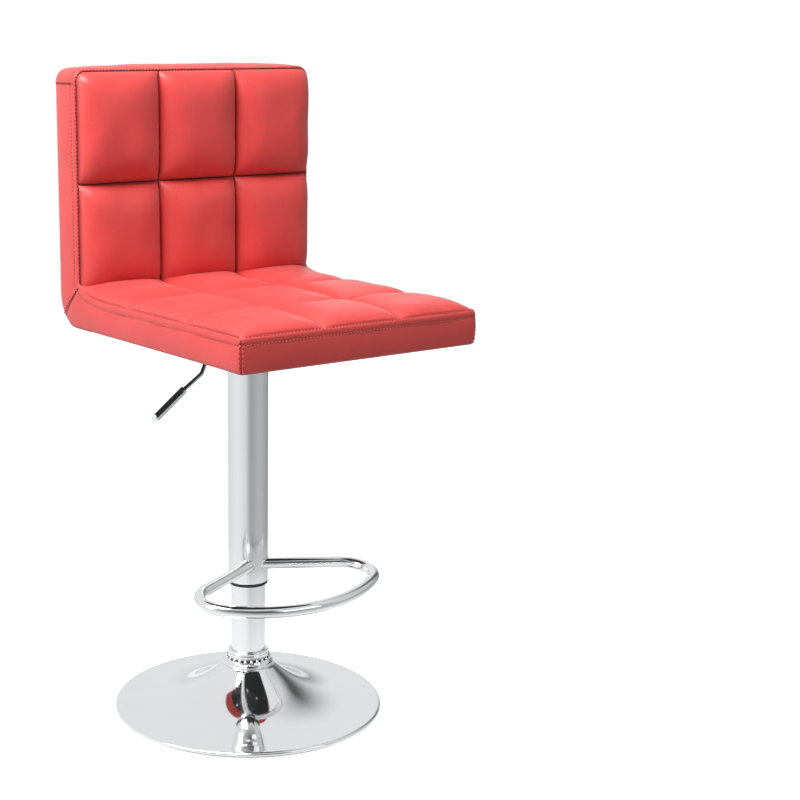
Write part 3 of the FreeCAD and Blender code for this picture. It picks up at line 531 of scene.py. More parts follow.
def flared(points):
    """Widen the upholstery a little from the seat's front towards the back."""
    made = np.array(points, float)
    share = np.clip((made[..., 1] - FRONT_Y) / (FACE_Y - FRONT_Y), 0, 1)
    made[..., 0] *= 1 + FLARE_OUT * share
    return made


class Quilt:
    """A quilted face: its edges, its seams, its place in space and how far it puffs out."""

    def __init__(self, name, along, rise, width_at, place, base, body_depth, stitched):
        self.name = name
        self.across = COLUMNS
        self.along = along
        self.rise = rise
        self.width_at = width_at
        self.place = place
        self.base = base
        self.body_depth = body_depth
        self.stitched = stitched

    def outward(self):
        """Direction in which the face puffs out."""
        zero = np.zeros(1)
        return self.place(zero, zero, np.ones(1))[0] - self.place(zero, zero, zero)[0]


def puff(share):
    """Rise of one panel from seam (-1 or 1) to middle (0)."""
    return np.sqrt(np.clip(1 - np.abs(share) ** PUFF_POWER, 0, 1))


def panel_share(values, marks):
    """Place of each value within its own panel, from -1 to 1."""
    marks = np.asarray(marks)
    index = np.clip(np.searchsorted(marks, values, side="right") - 1, 0, len(marks) - 2)
    low, high = marks[index], marks[index + 1]
    return 2 * (values - low) / (high - low) - 1


def nearest_mark(values, marks):
    return np.min(np.abs(np.asarray(values)[:, None] - np.asarray(marks)[None, :]), axis=1)


def spaced(marks, count, crowd):
    """Values from mark to mark, closer together beside each mark."""
    values = [marks[0]]
    for low, high in zip(marks, marks[1:]):
        t = np.arange(1, count + 1) / count
        t = (1 - crowd) * t + crowd * (0.5 - 0.5 * np.cos(math.pi * t))
        values += list(low + (high - low) * t)
    return np.array(values)


def quilt_height(quilt, u, v, rise):
    """Height of the quilt over its frame plane at lattice lines u and v."""
    shares = puff(panel_share(u, quilt.across))[:, None] * puff(panel_share(v, quilt.along))[None, :]
    return quilt.base(u[:, None], v[None, :]) + rise * shares


def quilt_points(quilt, u, v, height):
    """Points in space for lattice lines and heights; u runs from -1 to 1 of the width at v."""
    width = quilt.width_at(v)[None, :] + SIDE_BULGE * np.abs(u[:, None]) ** 7 * height / quilt.rise
    return quilt.place(u[:, None] * width, v[None, :] + 0 * u[:, None], height)


def closed_pad(quilt, points):
    """Close a lattice of face points with walls and a flat back."""
    rows, cols = points.shape[:2]
    faces = weave(rows, cols)
    rim = [(i, 0) for i in range(rows)] + [(rows - 1, j) for j in range(1, cols)]
    rim += [(i, cols - 1) for i in range(rows - 2, -1, -1)] + [(0, j) for j in range(cols - 2, 0, -1)]
    flat = points.reshape(-1, 3)
    top = [i * cols + j for i, j in rim]
    edge = flat[top]
    middle = edge.mean(axis=0)
    out = quilt.outward()
    levels = []
    for drop, pull in ((0.08, 0.004), (0.5, 0.006), (1.0, 0.008)):
        inward = middle - edge
        inward -= np.outer(inward @ out, out)
        inward /= np.linalg.norm(inward, axis=1)[:, None]
        levels.append(edge + inward * pull - out * (drop * quilt.body_depth))
    start = len(flat)
    ring = list(top)
    count = len(rim)
    for k in range(len(levels)):
        lower = [start + k * count + i for i in range(count)]
        faces += [(ring[i], lower[i], lower[(i + 1) % count], ring[(i + 1) % count]) for i in range(count)]
        ring = lower
    centre = start + len(levels) * count
    faces += [(ring[i], centre, ring[(i + 1) % count]) for i in range(count)]
    back = middle - out * quilt.body_depth
    return np.concatenate([flat] + levels + [back[None, :]]), [f[::-1] for f in faces]


def eased(values, held, passes):
    """Even out a lattice of values, leaving the held ones as they are."""
    for _ in range(passes):
        around = values.copy()
        around[1:-1, 1:-1] = (values[:-2, 1:-1] + values[2:, 1:-1] + values[1:-1, :-2] + values[1:-1, 2:]) / 4
        values = np.where(held, values, 0.4 * values + 0.6 * around)
    return values


def even(marks):
    """Evenly spaced values from mark to mark."""
    runs = [np.linspace(a, b, CLOTH_CELLS + 1)[1:] for a, b in zip(marks, marks[1:])]
    return np.concatenate([[marks[0]]] + runs)


def inflate(quilt):
    """Cloth-simulate the quilt pinned along its seams; returns its lattice and how far each point moved."""
    u, v = even(quilt.across), even(quilt.along)
    height = quilt_height(quilt, u, v, quilt.rise * START_SHARE)
    start = quilt_points(quilt, u, v, height)
    points, faces = closed_pad(quilt, start)
    pad = solid(quilt.name + "_simulated", points, faces, material("Red leather"))
    held = pad.vertex_groups.new(name="Sewn")
    sewn = np.zeros((len(u), len(v)), bool)
    sewn[::CLOTH_CELLS, :] = True
    sewn[:, ::CLOTH_CELLS] = True
    pinned = list(np.flatnonzero(sewn.ravel())) + list(range(sewn.size, len(points)))
    held.add([int(i) for i in pinned], 1.0, "REPLACE")
    pillow = pad.modifiers.new("Filling", "CLOTH")
    for key, value in CLOTH_SETTINGS.items():
        setattr(pillow.settings, key, value)
    pillow.settings.effector_weights.gravity = 0
    pillow.collision_settings.use_collision = False
    pillow.point_cache.frame_start = 1
    pillow.point_cache.frame_end = CLOTH_FRAMES
    scene = bpy.context.scene
    for step in range(1, CLOTH_FRAMES + 1):
        scene.frame_set(step)
    shaped = pad.evaluated_get(bpy.context.evaluated_depsgraph_get())
    cooked = np.zeros(len(points) * 3)
    shaped.data.vertices.foreach_get("co", cooked)
    moved = (cooked.reshape(-1, 3)[:sewn.size] - start.reshape(-1, 3)).reshape(start.shape)
    size = np.linalg.norm(moved, axis=2, keepdims=True)
    moved *= np.minimum(1.0, CLOTH_CAP / np.maximum(size, 1e-9))
    moved = eased(moved, sewn[:, :, None], 10)
    scene.frame_set(1)
    bpy.data.objects.remove(pad)
    return u, v, moved


def blend_weights(fine, coarse):
    """Cubic weights that carry values on coarse lines to fine lines, broken at every seam."""
    weights = np.zeros((len(fine), len(coarse)))
    for row, value in enumerate(fine):
        index = int(np.clip(np.searchsorted(coarse, value, side="right") - 1, 0, len(coarse) - 2))
        panel = index // CLOTH_CELLS
        t = (value - coarse[index]) / (coarse[index + 1] - coarse[index])
        t = min(max(t, 0.0), 1.0)
        parts = (-0.5 * t ** 3 + t ** 2 - 0.5 * t, 1.5 * t ** 3 - 2.5 * t ** 2 + 1,
                 -1.5 * t ** 3 + 2 * t ** 2 + 0.5 * t, 0.5 * t ** 3 - 0.5 * t ** 2)
        for offset, part in zip((-1, 0, 1, 2), parts):
            place = min(max(index + offset, panel * CLOTH_CELLS), (panel + 1) * CLOTH_CELLS)
            weights[row, place] += part
    return weights


def quilted_cushion(quilt, sizes, fine_counts, seed):
    """The finished cushion: simulated filling, stitched channels with painted shade in them, and small gathers
    beside them.
    """
    coarse_u, coarse_v, moved = inflate(quilt)
    u = spaced(quilt.across, fine_counts[0], 0.62)
    v = spaced(quilt.along, fine_counts[1], 0.62)
    extra = np.einsum("ij,jkc,lk->ilc", blend_weights(u, coarse_u), moved, blend_weights(v, coarse_v))
    height = quilt_height(quilt, u, v, quilt.rise * START_SHARE)
    out = quilt.outward()
    lift = extra @ out
    middles = lift[fine_counts[0] // 2::fine_counts[0], fine_counts[1] // 2::fine_counts[1]]
    wanted = quilt.rise * (1 - START_SHARE)
    extra *= np.clip(wanted / max(float(middles.mean()), 1e-6), 0.2, 4.0)
    width = float(quilt.width_at(np.array([np.mean(quilt.along)]))[0])
    near_u = nearest_mark(u, quilt.across)[:, None] * width
    near_v = nearest_mark(v, quilt.along)[None, :]
    near = np.minimum(near_u, near_v)
    flat_u = u[:, None] * width
    flat_v = v[None, :]
    gather = waves(flat_u, flat_v, seed, 7, 12 * MM, 22 * MM)
    gather = gather * np.exp(-near / (9 * MM)) * (1 - np.exp(-near / (2 * MM)))
    slack = waves(flat_u, flat_v, seed + 1, 6, 50 * MM, 110 * MM) * (1 - np.exp(-near / (12 * MM)))
    height = height + sizes.gather_depth * gather + 0.5 * MM * slack
    points = flared(quilt_points(quilt, u, v, height) + extra)
    closed, faces = closed_pad(quilt, points)
    # Painted shade in the seam grooves, fading within about a millimetre; the walls and back below get full painted
    # shade
    sewn = np.exp(-(near / (1.1 * MM)) ** 2)
    marks = np.concatenate([sewn.ravel(), np.ones(len(closed) - sewn.size)])
    made = solid(quilt.name, closed, faces, material("Red leather"), True, {"sewn": marks})
    lines = [points[4:-4, int(np.argmin(np.abs(v - mark)))] for mark in quilt.stitched]
    SEWN[quilt.name] = [(line, np.tile(out, (len(line), 1))) for line in lines]
    return made


def corner_width(half, radius, distance):
    """Half width of a rounded corner at a distance from its end."""
    reach = np.clip(radius - distance, 0, radius)
    return half - radius + np.sqrt(np.maximum(radius ** 2 - reach ** 2, 0))


def seat_quilt(rise):
    half = HALF_W - SEAM_INSET
    front = FRONT_Y + SEAM_INSET
    corner = FRONT_R - SEAM_INSET
    low = SEAM_Z - 0.4 * MM
    dome = 4.0 * MM

    def width_at(y):
        return corner_width(half, corner, y - front)

    def base(u, y):
        middle = (y - front) / (FACE_Y - front)
        near_back = np.clip((y - FACE_Y + FILLET_RUN) / FILLET_RUN, 0, 0.95)
        fillet = FILLET_RISE * (1 - np.sqrt(1 - near_back ** 2))
        return fillet + dome * (1 - u ** 4) * (1 - np.abs(2 * middle - 1) ** 5)

    def place(x, y, height):
        return np.stack(np.broadcast_arrays(x, y, low + height), axis=-1)

    return Quilt("Seat_cushion", (front, *SEAT_ROWS, FACE_Y), rise, width_at, place, base,
                 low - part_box("seat_foam")[0].z - 1 * MM, ())


def back_quilt(rise):
    half = HALF_W - SEAM_INSET
    low = SEAM_Z + 0.4 * FILLET_RISE
    top = TOP_Z - SEAM_INSET
    corner = TOP_R - SEAM_INSET

    def width_at(z):
        return corner_width(half, corner, top - z)

    def base(u, z):
        return -2.0 * MM * (1 - u ** 4) * (1 - np.abs(2 * (z - low) / (top - low) - 1) ** 6)

    def place(x, z, height):
        return np.stack(np.broadcast_arrays(x, FACE_Y - height, z), axis=-1)

    return Quilt("Back_cushion", (low, BACK_ROW, top), rise, width_at, place, base, 34 * MM, (BACK_ROW,))


# ---------------------------------------------------------------- sewn covers

# Places in the band's section: the two stitch rows, the outer skin, the plain part, what a cross seam pulls in
EDGE_STITCH_INDEX = 4
TOPSTITCH_INDEX = 13
OUTER_COUNT = 31
BODY_SPAN = slice(14, OUTER_COUNT - 5)
SEAM_SPAN = slice(8, OUTER_COUNT - 4)
ROW_SPAN = slice(9, OUTER_COUNT - 4)
BAND_STEP = 6 * MM
JOINT_RUN = 8 * MM
PULL_REACH = 1.2 * MM
COVER_INSET = 1.2 * MM
COVER_END_Y = 0.1
PULL_DEPTH = 0.9 * MM


def outer_reach(centre, forward):
    """Distance from a point to the L's outer outline along a direction in the side plane."""
    hits = []
    if forward[0] > 1e-9:
        reach = (REAR_Y - centre[0]) / forward[0]
        if centre[1] + reach * forward[1] >= UNDER_Z + HEEL_R:
            hits.append(reach)
    if forward[1] < -1e-9:
        reach = (UNDER_Z - centre[1]) / forward[1]
        if centre[0] + reach * forward[0] <= REAR_Y - HEEL_R:
            hits.append(reach)
    if hits:
        return min(hits)
    offset = np.array(centre) - np.array((REAR_Y - HEEL_R, UNDER_Z + HEEL_R))
    half = offset @ np.array(forward)
    return -half + math.sqrt(half ** 2 - offset @ offset + HEEL_R ** 2)


def band_stations():
    """Stations round the perimeter seam: seam point, outward, depth direction, depth, cross seam's name."""
    w = HALF_W - SEAM_INSET
    top = TOP_Z - SEAM_INSET
    r = TOP_R - SEAM_INSET
    rf = FRONT_R - SEAM_INSET
    front = FRONT_Y + SEAM_INSET
    back_depth = REAR_Y - FACE_Y
    seat_depth = SEAM_Z - UNDER_Z
    rearward, downward = (0, 1, 0), (0, 0, -1)
    high, low = top - r, SEAM_Z + FILLET_RISE
    below = high - JOINT_RUN
    rear_y, front_y = FACE_Y - FILLET_RUN, front + rf
    half = []

    def run(count, make, seam_at=None, seam=None):
        for i in range(count):
            half.append(make(i / count) + (seam if i == seam_at else None,))

    def back_top(t):
        return (-t * (w - r), FACE_Y, top), (0, 0, 1), rearward, back_depth

    def back_corner(t):
        s, c = math.sin(t * math.pi / 2), math.cos(t * math.pi / 2)
        return (-(w - r) - r * s, FACE_Y, top - r + r * c), (-s, 0, c), rearward, back_depth

    def back_side(start, end):
        return lambda t: ((-w, FACE_Y, start + t * (end - start)), (-1, 0, 0), rearward, back_depth)

    def fan(t):
        turn = t ** 1.3 * math.pi / 2
        spot = (FACE_Y - FILLET_RUN * (1 - math.cos(turn)), low - FILLET_RISE * math.sin(turn))
        forward = Vector((FILLET_RISE * math.cos(turn), -FILLET_RUN * math.sin(turn))).normalized()
        return (-w, *spot), (-1, 0, 0), (0, *forward), outer_reach(spot, forward)

    def seat_side(t):
        return (-w, rear_y + t * (front_y - rear_y), SEAM_Z), (-1, 0, 0), downward, seat_depth

    def seat_corner(t):
        s, c = math.sin(t * math.pi / 2), math.cos(t * math.pi / 2)
        return (-(w - rf) - rf * c, front + rf - rf * s, SEAM_Z), (-c, -s, 0), downward, seat_depth

    def seat_front(t):
        return (-(w - rf) + t * (w - rf), front, SEAM_Z), (0, -1, 0), downward, seat_depth

    run(int((w - r) / BAND_STEP), back_top)
    run(10, back_corner)
    run(5, back_side(high, below), 2, "top")
    run(int((below - low) / BAND_STEP), back_side(below, low))
    run(44, fan, 12, "mitre")
    run(int((rear_y - front_y) / BAND_STEP), seat_side)
    run(12, seat_corner, 6, "corner")
    run(int((w - rf) / BAND_STEP) + 1, seat_front)
    other = []
    for spot, out, deep, depth, seam in half[1:][::-1]:
        other.append(((-spot[0], spot[1], spot[2]), (-out[0], out[1], out[2]), deep, depth, seam))
    middle = ((0, front, SEAM_Z), (0, -1, 0), downward, seat_depth, None)
    return half + [middle] + other


def band_profile(depth):
    """Section of the band in millimetres: (out from the seam, down from the seam), outer skin then lining."""
    deep = depth / MM
    spread = [14 + (deep - 24) * i / 6 for i in range(7)]
    middle = [(3.9 + 0.5 * math.sin(math.pi * i / 6), d) for i, d in enumerate(spread)]
    outer = [(-0.9, 2.6), (-0.5, 1.2), (0.0, 0.2), (0.5, -0.5), (1.2, -1.0), (2.0, -1.0), (2.7, -0.5),
             (3.2, 0.4), (3.45, 1.6), (3.6, 3.2), (3.55, 5.0), (3.3, 6.4), (3.1, 7.4), (3.05, 8.0), (3.15, 8.6),
             (3.4, 9.6), (3.75, 11.2)]
    outer += middle + [(3.6, deep - 7), (3.2, deep - 4.2), (2.5, deep - 2.2), (1.4, deep - 0.8),
                       (0.0, deep - 0.1), (-3.0, deep), (-5.5, deep)]
    lining = [(-5.5, deep - 1.4), (-0.6, deep - 1.8), (1.0, deep - 6), (2.0, deep / 2), (1.2, 9.0), (0.6, 4.0),
              (-0.9, 4.0)]
    return outer + lining


def side_band():
    """Boxing strip stitched round both L sides, the seat's front and the back's top, with its cross seams and
    painted shade in its seams.
    """
    stations = band_stations()
    count = len(stations)
    rows = []
    for spot, out, deep, depth, seam in stations:
        section = np.array(band_profile(depth)) * MM
        rows.append(np.array(spot) + section[:, :1] * np.array(out) + section[:, 1:] * np.array(deep))
    points = flared(rows)
    cols = points.shape[1]
    outs = np.array([s[1] for s in stations], float)
    run = np.concatenate([[0], np.cumsum(np.linalg.norm(np.diff(points[:, TOPSTITCH_INDEX], axis=0), axis=1))])
    down = np.linalg.norm(points - points[:, 2:3], axis=2)
    body = np.zeros(cols)
    body[BODY_SPAN] = 1.0
    lift = np.clip(outs[:, 2], 0, 1) * (1 - (points[:, 2, 0] / HALF_W) ** 4) * TOP_CROWN
    arch = np.sin(math.pi * np.clip((down - 8 * MM) / (REAR_Y - FACE_Y - 12 * MM), 0, 1))
    points += outs[:, None, :] * (lift[:, None] * arch * (np.arange(cols) < OUTER_COUNT))[:, :, None]
    sag = waves(run[:, None], down, 31, 6, 45 * MM, 120 * MM) * 0.35 * MM
    points += outs[:, None, :] * (sag * body)[:, :, None]
    # Painted shade where the band's edge tucks into the perimeter seam
    sewn = np.zeros((count, cols))
    sewn[:, :3] = 0.7
    sewn[:, 3] = 0.2
    deeps = np.array([s[2] for s in stations], float)
    lines = [(points[:, TOPSTITCH_INDEX], outs), (points[:, EDGE_STITCH_INDEX], -deeps)]
    for k, station in enumerate(stations):
        if station[4] is None:
            continue
        gap = np.linalg.norm(points[k, 20] - points[(k + 1) % count, 20])
        for side in (-2, -1, 0, 1, 2):
            at = (k + side) % count
            pull = math.exp(-(side * gap / PULL_REACH) ** 2)
            points[at, SEAM_SPAN] -= outs[k] * PULL_DEPTH * pull
            # Painted shade in the crease where a cross seam pulls the band in
            sewn[at, SEAM_SPAN] = np.maximum(sewn[at, SEAM_SPAN], 0.9 * pull)
        for side in ((-2, 2) if station[4] == "corner" else (-1,)):
            at = (k + side) % count
            line = points[at, ROW_SPAN]
            lines.append((line, np.tile(outs[at], (len(line), 1))))
    SEWN["Side_band"] = lines
    faces = [f[::-1] for f in weave(count, cols, True, True)]
    return solid("Side_band", points.reshape(-1, 3), faces, material("Red leather"), True, {"sewn": sewn.ravel()})


def rear_cover():
    """Plain cover over the back's rear, round the heel and a little way under the seat."""
    half = HALF_W - COVER_INSET
    top = TOP_Z - COVER_INSET
    corner = TOP_R - COVER_INSET
    path = []
    for z in np.concatenate([top - corner * (1 - np.cos(np.linspace(0, math.pi / 2, 9))),
                             np.linspace(top - corner, UNDER_Z + HEEL_R, 44)[1:]]):
        path.append((REAR_Y, z, 0.0, 1.0))
    for turn in np.linspace(0, math.pi / 2, 20)[1:]:
        path.append((REAR_Y - HEEL_R + HEEL_R * math.cos(turn), UNDER_Z + HEEL_R - HEEL_R * math.sin(turn),
                     -math.sin(turn), math.cos(turn)))
    for y in np.linspace(REAR_Y - HEEL_R, COVER_END_Y, 6)[1:]:
        path.append((y, UNDER_Z, -1.0, 0.0))
    across = spaced((-1, 0, 1), 26, 0.5)
    path = np.array(path)
    travelled = np.concatenate([[0], np.cumsum(np.hypot(*np.diff(path[:, :2], axis=0).T))])
    width = corner_width(half, corner, np.where(path[:, 3] > 0.99, top - path[:, 1], 1.0))
    shares = np.abs(across)[None, :]
    crown = (1 - shares ** 6) * (1 - np.exp(-travelled[:, None] / (10 * MM)))
    wrinkle = waves(across[None, :] * half, travelled[:, None], 47, 7, 60 * MM, 170 * MM)
    proud = (1.9 * crown + 0.5 * wrinkle * crown - 1.6 * shares ** 40) * MM
    proud[0] -= 0.8 * MM
    proud[path[:, 2] < -0.9] *= 0.3
    x = across[None, :] * width[:, None]
    y = path[:, :1] + proud * path[:, 3:4]
    z = path[:, 1:2] + proud * path[:, 2:3]
    points = flared(np.stack(np.broadcast_arrays(x, y, z), axis=-1))
    rows, cols = points.shape[:2]
    # Painted shade where the cover's edges tuck into their seams; its inner skin gets full painted shade
    sewn = np.clip(shares ** 60 + np.exp(-travelled[:, None] / (1.5 * MM)), 0, 1) * 0.9
    inner = points - np.stack(np.broadcast_arrays(0 * x, path[:, 3:4] * SKIN, path[:, 2:3] * SKIN), axis=-1)
    faces = weave(rows, cols) + [f[::-1] for f in weave(rows, cols, start=rows * cols)]
    rim = [i * cols for i in range(rows)] + [(rows - 1) * cols + j for j in range(1, cols)]
    rim += [i * cols + cols - 1 for i in range(rows - 2, -1, -1)] + list(range(cols - 2, 0, -1))
    lift = rows * cols
    faces += [(rim[i], rim[i - 1], rim[i - 1] + lift, rim[i] + lift) for i in range(len(rim))]
    closed = np.concatenate([points.reshape(-1, 3), inner.reshape(-1, 3)])
    marks = np.concatenate([sewn.ravel(), np.ones(rows * cols)])
    outs = np.stack([0 * path[:, 3], path[:, 3], path[:, 2]], axis=-1)
    below = np.searchsorted(travelled, 8 * MM)
    sides = [(points[below:-3, col], outs[below:-3]) for col in (3, cols - 4)]
    sides.append((points[below, 4:-4], np.tile((0, 1.0, 0), (cols - 8, 1))))
    SEWN["Rear_cover"] = sides
    return solid("Rear_cover", closed, faces, material("Red leather"), True, {"sewn": marks})


# ---------------------------------------------------------------- repeated pieces by geometry nodes

def tree_of(name, inputs):
    """A geometry node tree with a mesh in, a mesh out and named inputs."""
    tree = bpy.data.node_groups.new(name, "GeometryNodeTree")
    tree.interface.new_socket("Geometry", in_out="INPUT", socket_type="NodeSocketGeometry")
    for key, kind, value in inputs:
        tree.interface.new_socket(key, in_out="INPUT", socket_type=kind).default_value = value
    tree.interface.new_socket("Geometry", in_out="OUTPUT", socket_type="NodeSocketGeometry")
    return tree, tree.nodes.new("NodeGroupInput"), tree.nodes.new("NodeGroupOutput")


def painted(tree, instances, finish_name):
    """Instances made real, smooth and painted."""
    real = node(tree, "GeometryNodeRealizeInstances", {"Geometry": instances}).outputs[0]
    smooth = node(tree, "GeometryNodeSetShadeSmooth", {"Geometry": real}).outputs[0]
    return node(tree, "GeometryNodeSetMaterial", {"Geometry": smooth, "Material": material(finish_name)}).outputs[0]


def placed(tree, spots, piece, rotation=None, scale=None):
    """Copies of a piece on points."""
    inputs = {"Points": spots, "Instance": piece}
    if rotation:
        inputs.update({"Rotation": rotation, "Scale": scale})
    return node(tree, "GeometryNodeInstanceOnPoints", inputs).outputs[0]


def stitch_tree():
    """Thread stitches laid end to end along stitched lines, with a near-black bead between each as painted shade
    for the needle hole.
    """
    tree, start, end = tree_of("Stitch rows", [("Pitch", "NodeSocketFloat", 5.2 * MM),
                                               ("Length", "NodeSocketFloat", 3.5 * MM),
                                               ("Thickness", "NodeSocketFloat", 1.3 * MM)])
    pitch, wide = start.outputs["Pitch"], start.outputs["Thickness"]
    along = node(tree, "GeometryNodeInputTangent").outputs[0]
    out = node(tree, "GeometryNodeInputNamedAttribute", {"Name": "out"}, data_type="FLOAT_VECTOR").outputs[0]
    laid = node(tree, "FunctionNodeAlignRotationToVector", {"Vector": along}, axis="X").outputs[0]
    turned = node(tree, "FunctionNodeAlignRotationToVector", {"Rotation": laid, "Vector": out}, axis="Z",
                  pivot_axis="X").outputs[0]
    bead = node(tree, "GeometryNodeMeshUVSphere", {"Segments": 6, "Rings": 5, "Radius": 0.5}).outputs[0]
    high = maths(tree, "MULTIPLY", wide, 0.8)
    hole = maths(tree, "MULTIPLY", wide, 1.5)
    curve = node(tree, "GeometryNodeMeshToCurve", {"Mesh": start.outputs["Geometry"]}).outputs[0]
    later = node(tree, "GeometryNodeTrimCurve", {"Curve": curve}, mode="LENGTH")
    # The trim node's last two sockets are its start and end as lengths
    tree.links.new(maths(tree, "MULTIPLY", pitch, 0.5), later.inputs[4])
    later.inputs[5].default_value = 100.0
    both = node(tree, "GeometryNodeJoinGeometry")
    for line, size, finish_name in ((curve, (start.outputs["Length"], wide, high), "Red thread"),
                                    (later.outputs[0], (hole, hole, high), "Needle hole shade")):
        spots = node(tree, "GeometryNodeResampleCurve", {"Curve": line, "Length": pitch}, mode="LENGTH").outputs[0]
        scale = node(tree, "ShaderNodeCombineXYZ", dict(zip("XYZ", size))).outputs[0]
        tree.links.new(painted(tree, placed(tree, spots, bead, turned, scale), finish_name), both.inputs[0])
    tree.links.new(both.outputs[0], end.inputs["Geometry"])
    return tree


def stud_tree():
    """A ring of round studs about the swivel axis."""
    tree, start, end = tree_of("Stud ring", [("Count", "NodeSocketInt", 22),
                                             ("Ring radius", "NodeSocketFloat", STUD_RING_R),
                                             ("Height", "NodeSocketFloat", STUD_RISE),
                                             ("Stud radius", "NodeSocketFloat", STUD_R)])
    ring = node(tree, "GeometryNodeMeshCircle", {"Vertices": start.outputs["Count"],
                                                 "Radius": start.outputs["Ring radius"]}).outputs[0]
    rise = node(tree, "ShaderNodeCombineXYZ", {"Z": start.outputs["Height"]}).outputs[0]
    lifted = node(tree, "GeometryNodeTransform", {"Geometry": ring, "Translation": rise}).outputs[0]
    ball = node(tree, "GeometryNodeMeshUVSphere", {"Segments": 16, "Rings": 12,
                                                   "Radius": start.outputs["Stud radius"]}).outputs[0]
    tree.links.new(painted(tree, placed(tree, lifted, ball), "Mirror chrome"), end.inputs["Geometry"])
    return tree


def grown(name, tree, seed_points, seed_edges, values, attributes=None):
    """Run a geometry node tree on a seed mesh and keep its result as a plain mesh object."""
    mesh = bpy.data.meshes.new(name + "_seed")
    mesh.from_pydata([tuple(p) for p in seed_points], seed_edges, [])
    for key, data in (attributes or {}).items():
        layer = mesh.attributes.new(key, "FLOAT_VECTOR", "POINT")
        layer.data.foreach_set("vector", np.asarray(data, np.float32).ravel())
    made = bpy.data.objects.new(name, mesh)
    bpy.context.scene.collection.objects.link(made)
    growth = made.modifiers.new("Growth", "NODES")
    growth.node_group = tree
    for key, value in values.items():
        growth[tree.interface.items_tree[key].identifier] = value
    bpy.context.view_layer.update()
    evaluated = made.evaluated_get(bpy.context.evaluated_depsgraph_get())
    result = bpy.data.meshes.new_from_object(evaluated)
    made.modifiers.remove(growth)
    made.data = result
    result.name = name
    return made


# ---------------------------------------------------------------- chrome pieces

def dish_height(radius):
    share = (DISH_EDGE_R - radius) / (DISH_EDGE_R - THROAT_R)
    return DISH_EDGE_Z + (DISH_TOP_Z - DISH_EDGE_Z) * np.maximum(share, 0) ** FLARE


def dish_outline():
    """Section of the spun dish: skin from throat to rim, rolled edge, lining back to the throat."""
    shares = np.linspace(0, 1, 90)
    radii = THROAT_R + (DISH_EDGE_R - THROAT_R) * shares ** 0.85
    skin = list(zip(radii, dish_height(radii)))
    edge_r = DISH_BOX[1].x
    pad_z = PAD_BOX[1].z
    nose_z = 4.6 * MM
    roll = []
    for turn in np.linspace(0.35, math.pi / 2, 8)[1:]:
        roll.append((DISH_EDGE_R + (edge_r - DISH_EDGE_R) * math.sin(turn),
                     nose_z + (DISH_EDGE_Z - nose_z) * math.cos(turn)))
    lining = [(edge_r, pad_z), (edge_r - SHEET, pad_z), (edge_r - SHEET, nose_z)]
    for r, z in skin[::-6]:
        lining.append((r - 0.4 * SHEET, z - 1.1 * SHEET))
    seat = COLUMN_BOX[1].x + FIT
    closing = [(THROAT_R - SHEET, DISH_TOP_Z - SHEET), (seat, DISH_TOP_Z - SHEET), (seat, DISH_TOP_Z)]
    return skin + roll + lining + closing


def tube_outline(outer, inner, low, high, soft):
    """Section of a tube with softened rims."""
    outline = []
    corners = [(outer - soft, high - soft, 0), (outer - soft, low + soft, -90), (inner + soft, low + soft, -180),
               (inner + soft, high - soft, -270)]
    for r, z, first in corners:
        for i in range(5):
            turn = math.radians(90 + first - 22.5 * i)
            outline.append((r + soft * math.cos(turn), z + soft * math.sin(turn)))
    return outline


def long_outline(outline, step):
    """Add points on the long straight runs of a section, so gloss stays even."""
    filled = []
    for here, there in zip(outline, outline[1:] + outline[:1]):
        filled.append(here)
        length = math.dist(here, there)
        count = int(length / step)
        for i in range(1, count):
            t = i / count
            filled.append((here[0] + (there[0] - here[0]) * t, here[1] + (there[1] - here[1]) * t))
    return filled


def turned(name, outline, steps, finish_name):
    return face_outward(solid(name, *lathe(outline, steps), material(finish_name)))


def face_outward(made):
    """Turn a piece's faces outward."""
    shape = bmesh.new()
    shape.from_mesh(made.data)
    bmesh.ops.remove_doubles(shape, verts=shape.verts, dist=1e-6)
    bmesh.ops.recalc_face_normals(shape, faces=shape.faces)
    shape.to_mesh(made.data)
    shape.free()
    return made


def loop_points():
    """Centre line of the footrest's left half, root first, before it is tilted."""
    along = Vector((math.cos(ARM_SPREAD), -math.sin(ARM_SPREAD), 0))
    inward = Vector((-math.sin(ARM_SPREAD), -math.cos(ARM_SPREAD), 0))
    start = Vector((0, ARM_START_Y, 0))
    bow = Vector((0, LOOP_FRONT_R - LOOP_REACH, 0))
    offset = start + inward * LOOP_CORNER_R - bow
    half_b = offset.dot(along)
    gap = offset.dot(offset) - (LOOP_FRONT_R - LOOP_CORNER_R) ** 2
    run = -half_b + math.sqrt(half_b ** 2 - gap)
    corner = start + inward * LOOP_CORNER_R + along * run
    arm_end = corner - inward * LOOP_CORNER_R
    outward = (corner - bow).normalized()
    lead = -ARM_START_Y * math.sin(ARM_SPREAD)
    leave = math.sqrt(lead ** 2 + COVER_BOX[1].x ** 2 - ARM_START_Y ** 2) - lead
    first = start + along * leave
    points = [first]
    count = int((arm_end - first).length / (6 * MM))
    points += [first.lerp(arm_end, (i + 1) / count) for i in range(count)]
    turn = (-inward).angle(outward)
    for i in range(1, 33):
        t = i / 32
        mix = (-inward * math.sin((1 - t) * turn) + outward * math.sin(t * turn)) / math.sin(turn)
        points.append(corner + mix * LOOP_CORNER_R)
    edge = math.atan2(outward.y, outward.x)
    for i in range(1, 41):
        turn = edge + (-math.pi / 2 - edge) * i / 40
        points.append(bow + Vector((math.cos(turn), math.sin(turn), 0)) * LOOP_FRONT_R)
    return points, start, along


def tilted(points):
    """Lower the loop towards its front and lift it to its root height."""
    points = np.asarray(points, float)
    turn = math.atan(LOOP_FALL)
    made = points.copy()
    made[:, 1] = points[:, 1] * math.cos(turn) - points[:, 2] * math.sin(turn)
    made[:, 2] = points[:, 1] * math.sin(turn) + points[:, 2] * math.cos(turn) + LOOP_ROOT_Z
    return made


def tilted_way(way):
    """A direction in the loop's plane, once the loop is tilted."""
    return (tilted([tuple(way)]) - tilted([(0, 0, 0)]))[0]


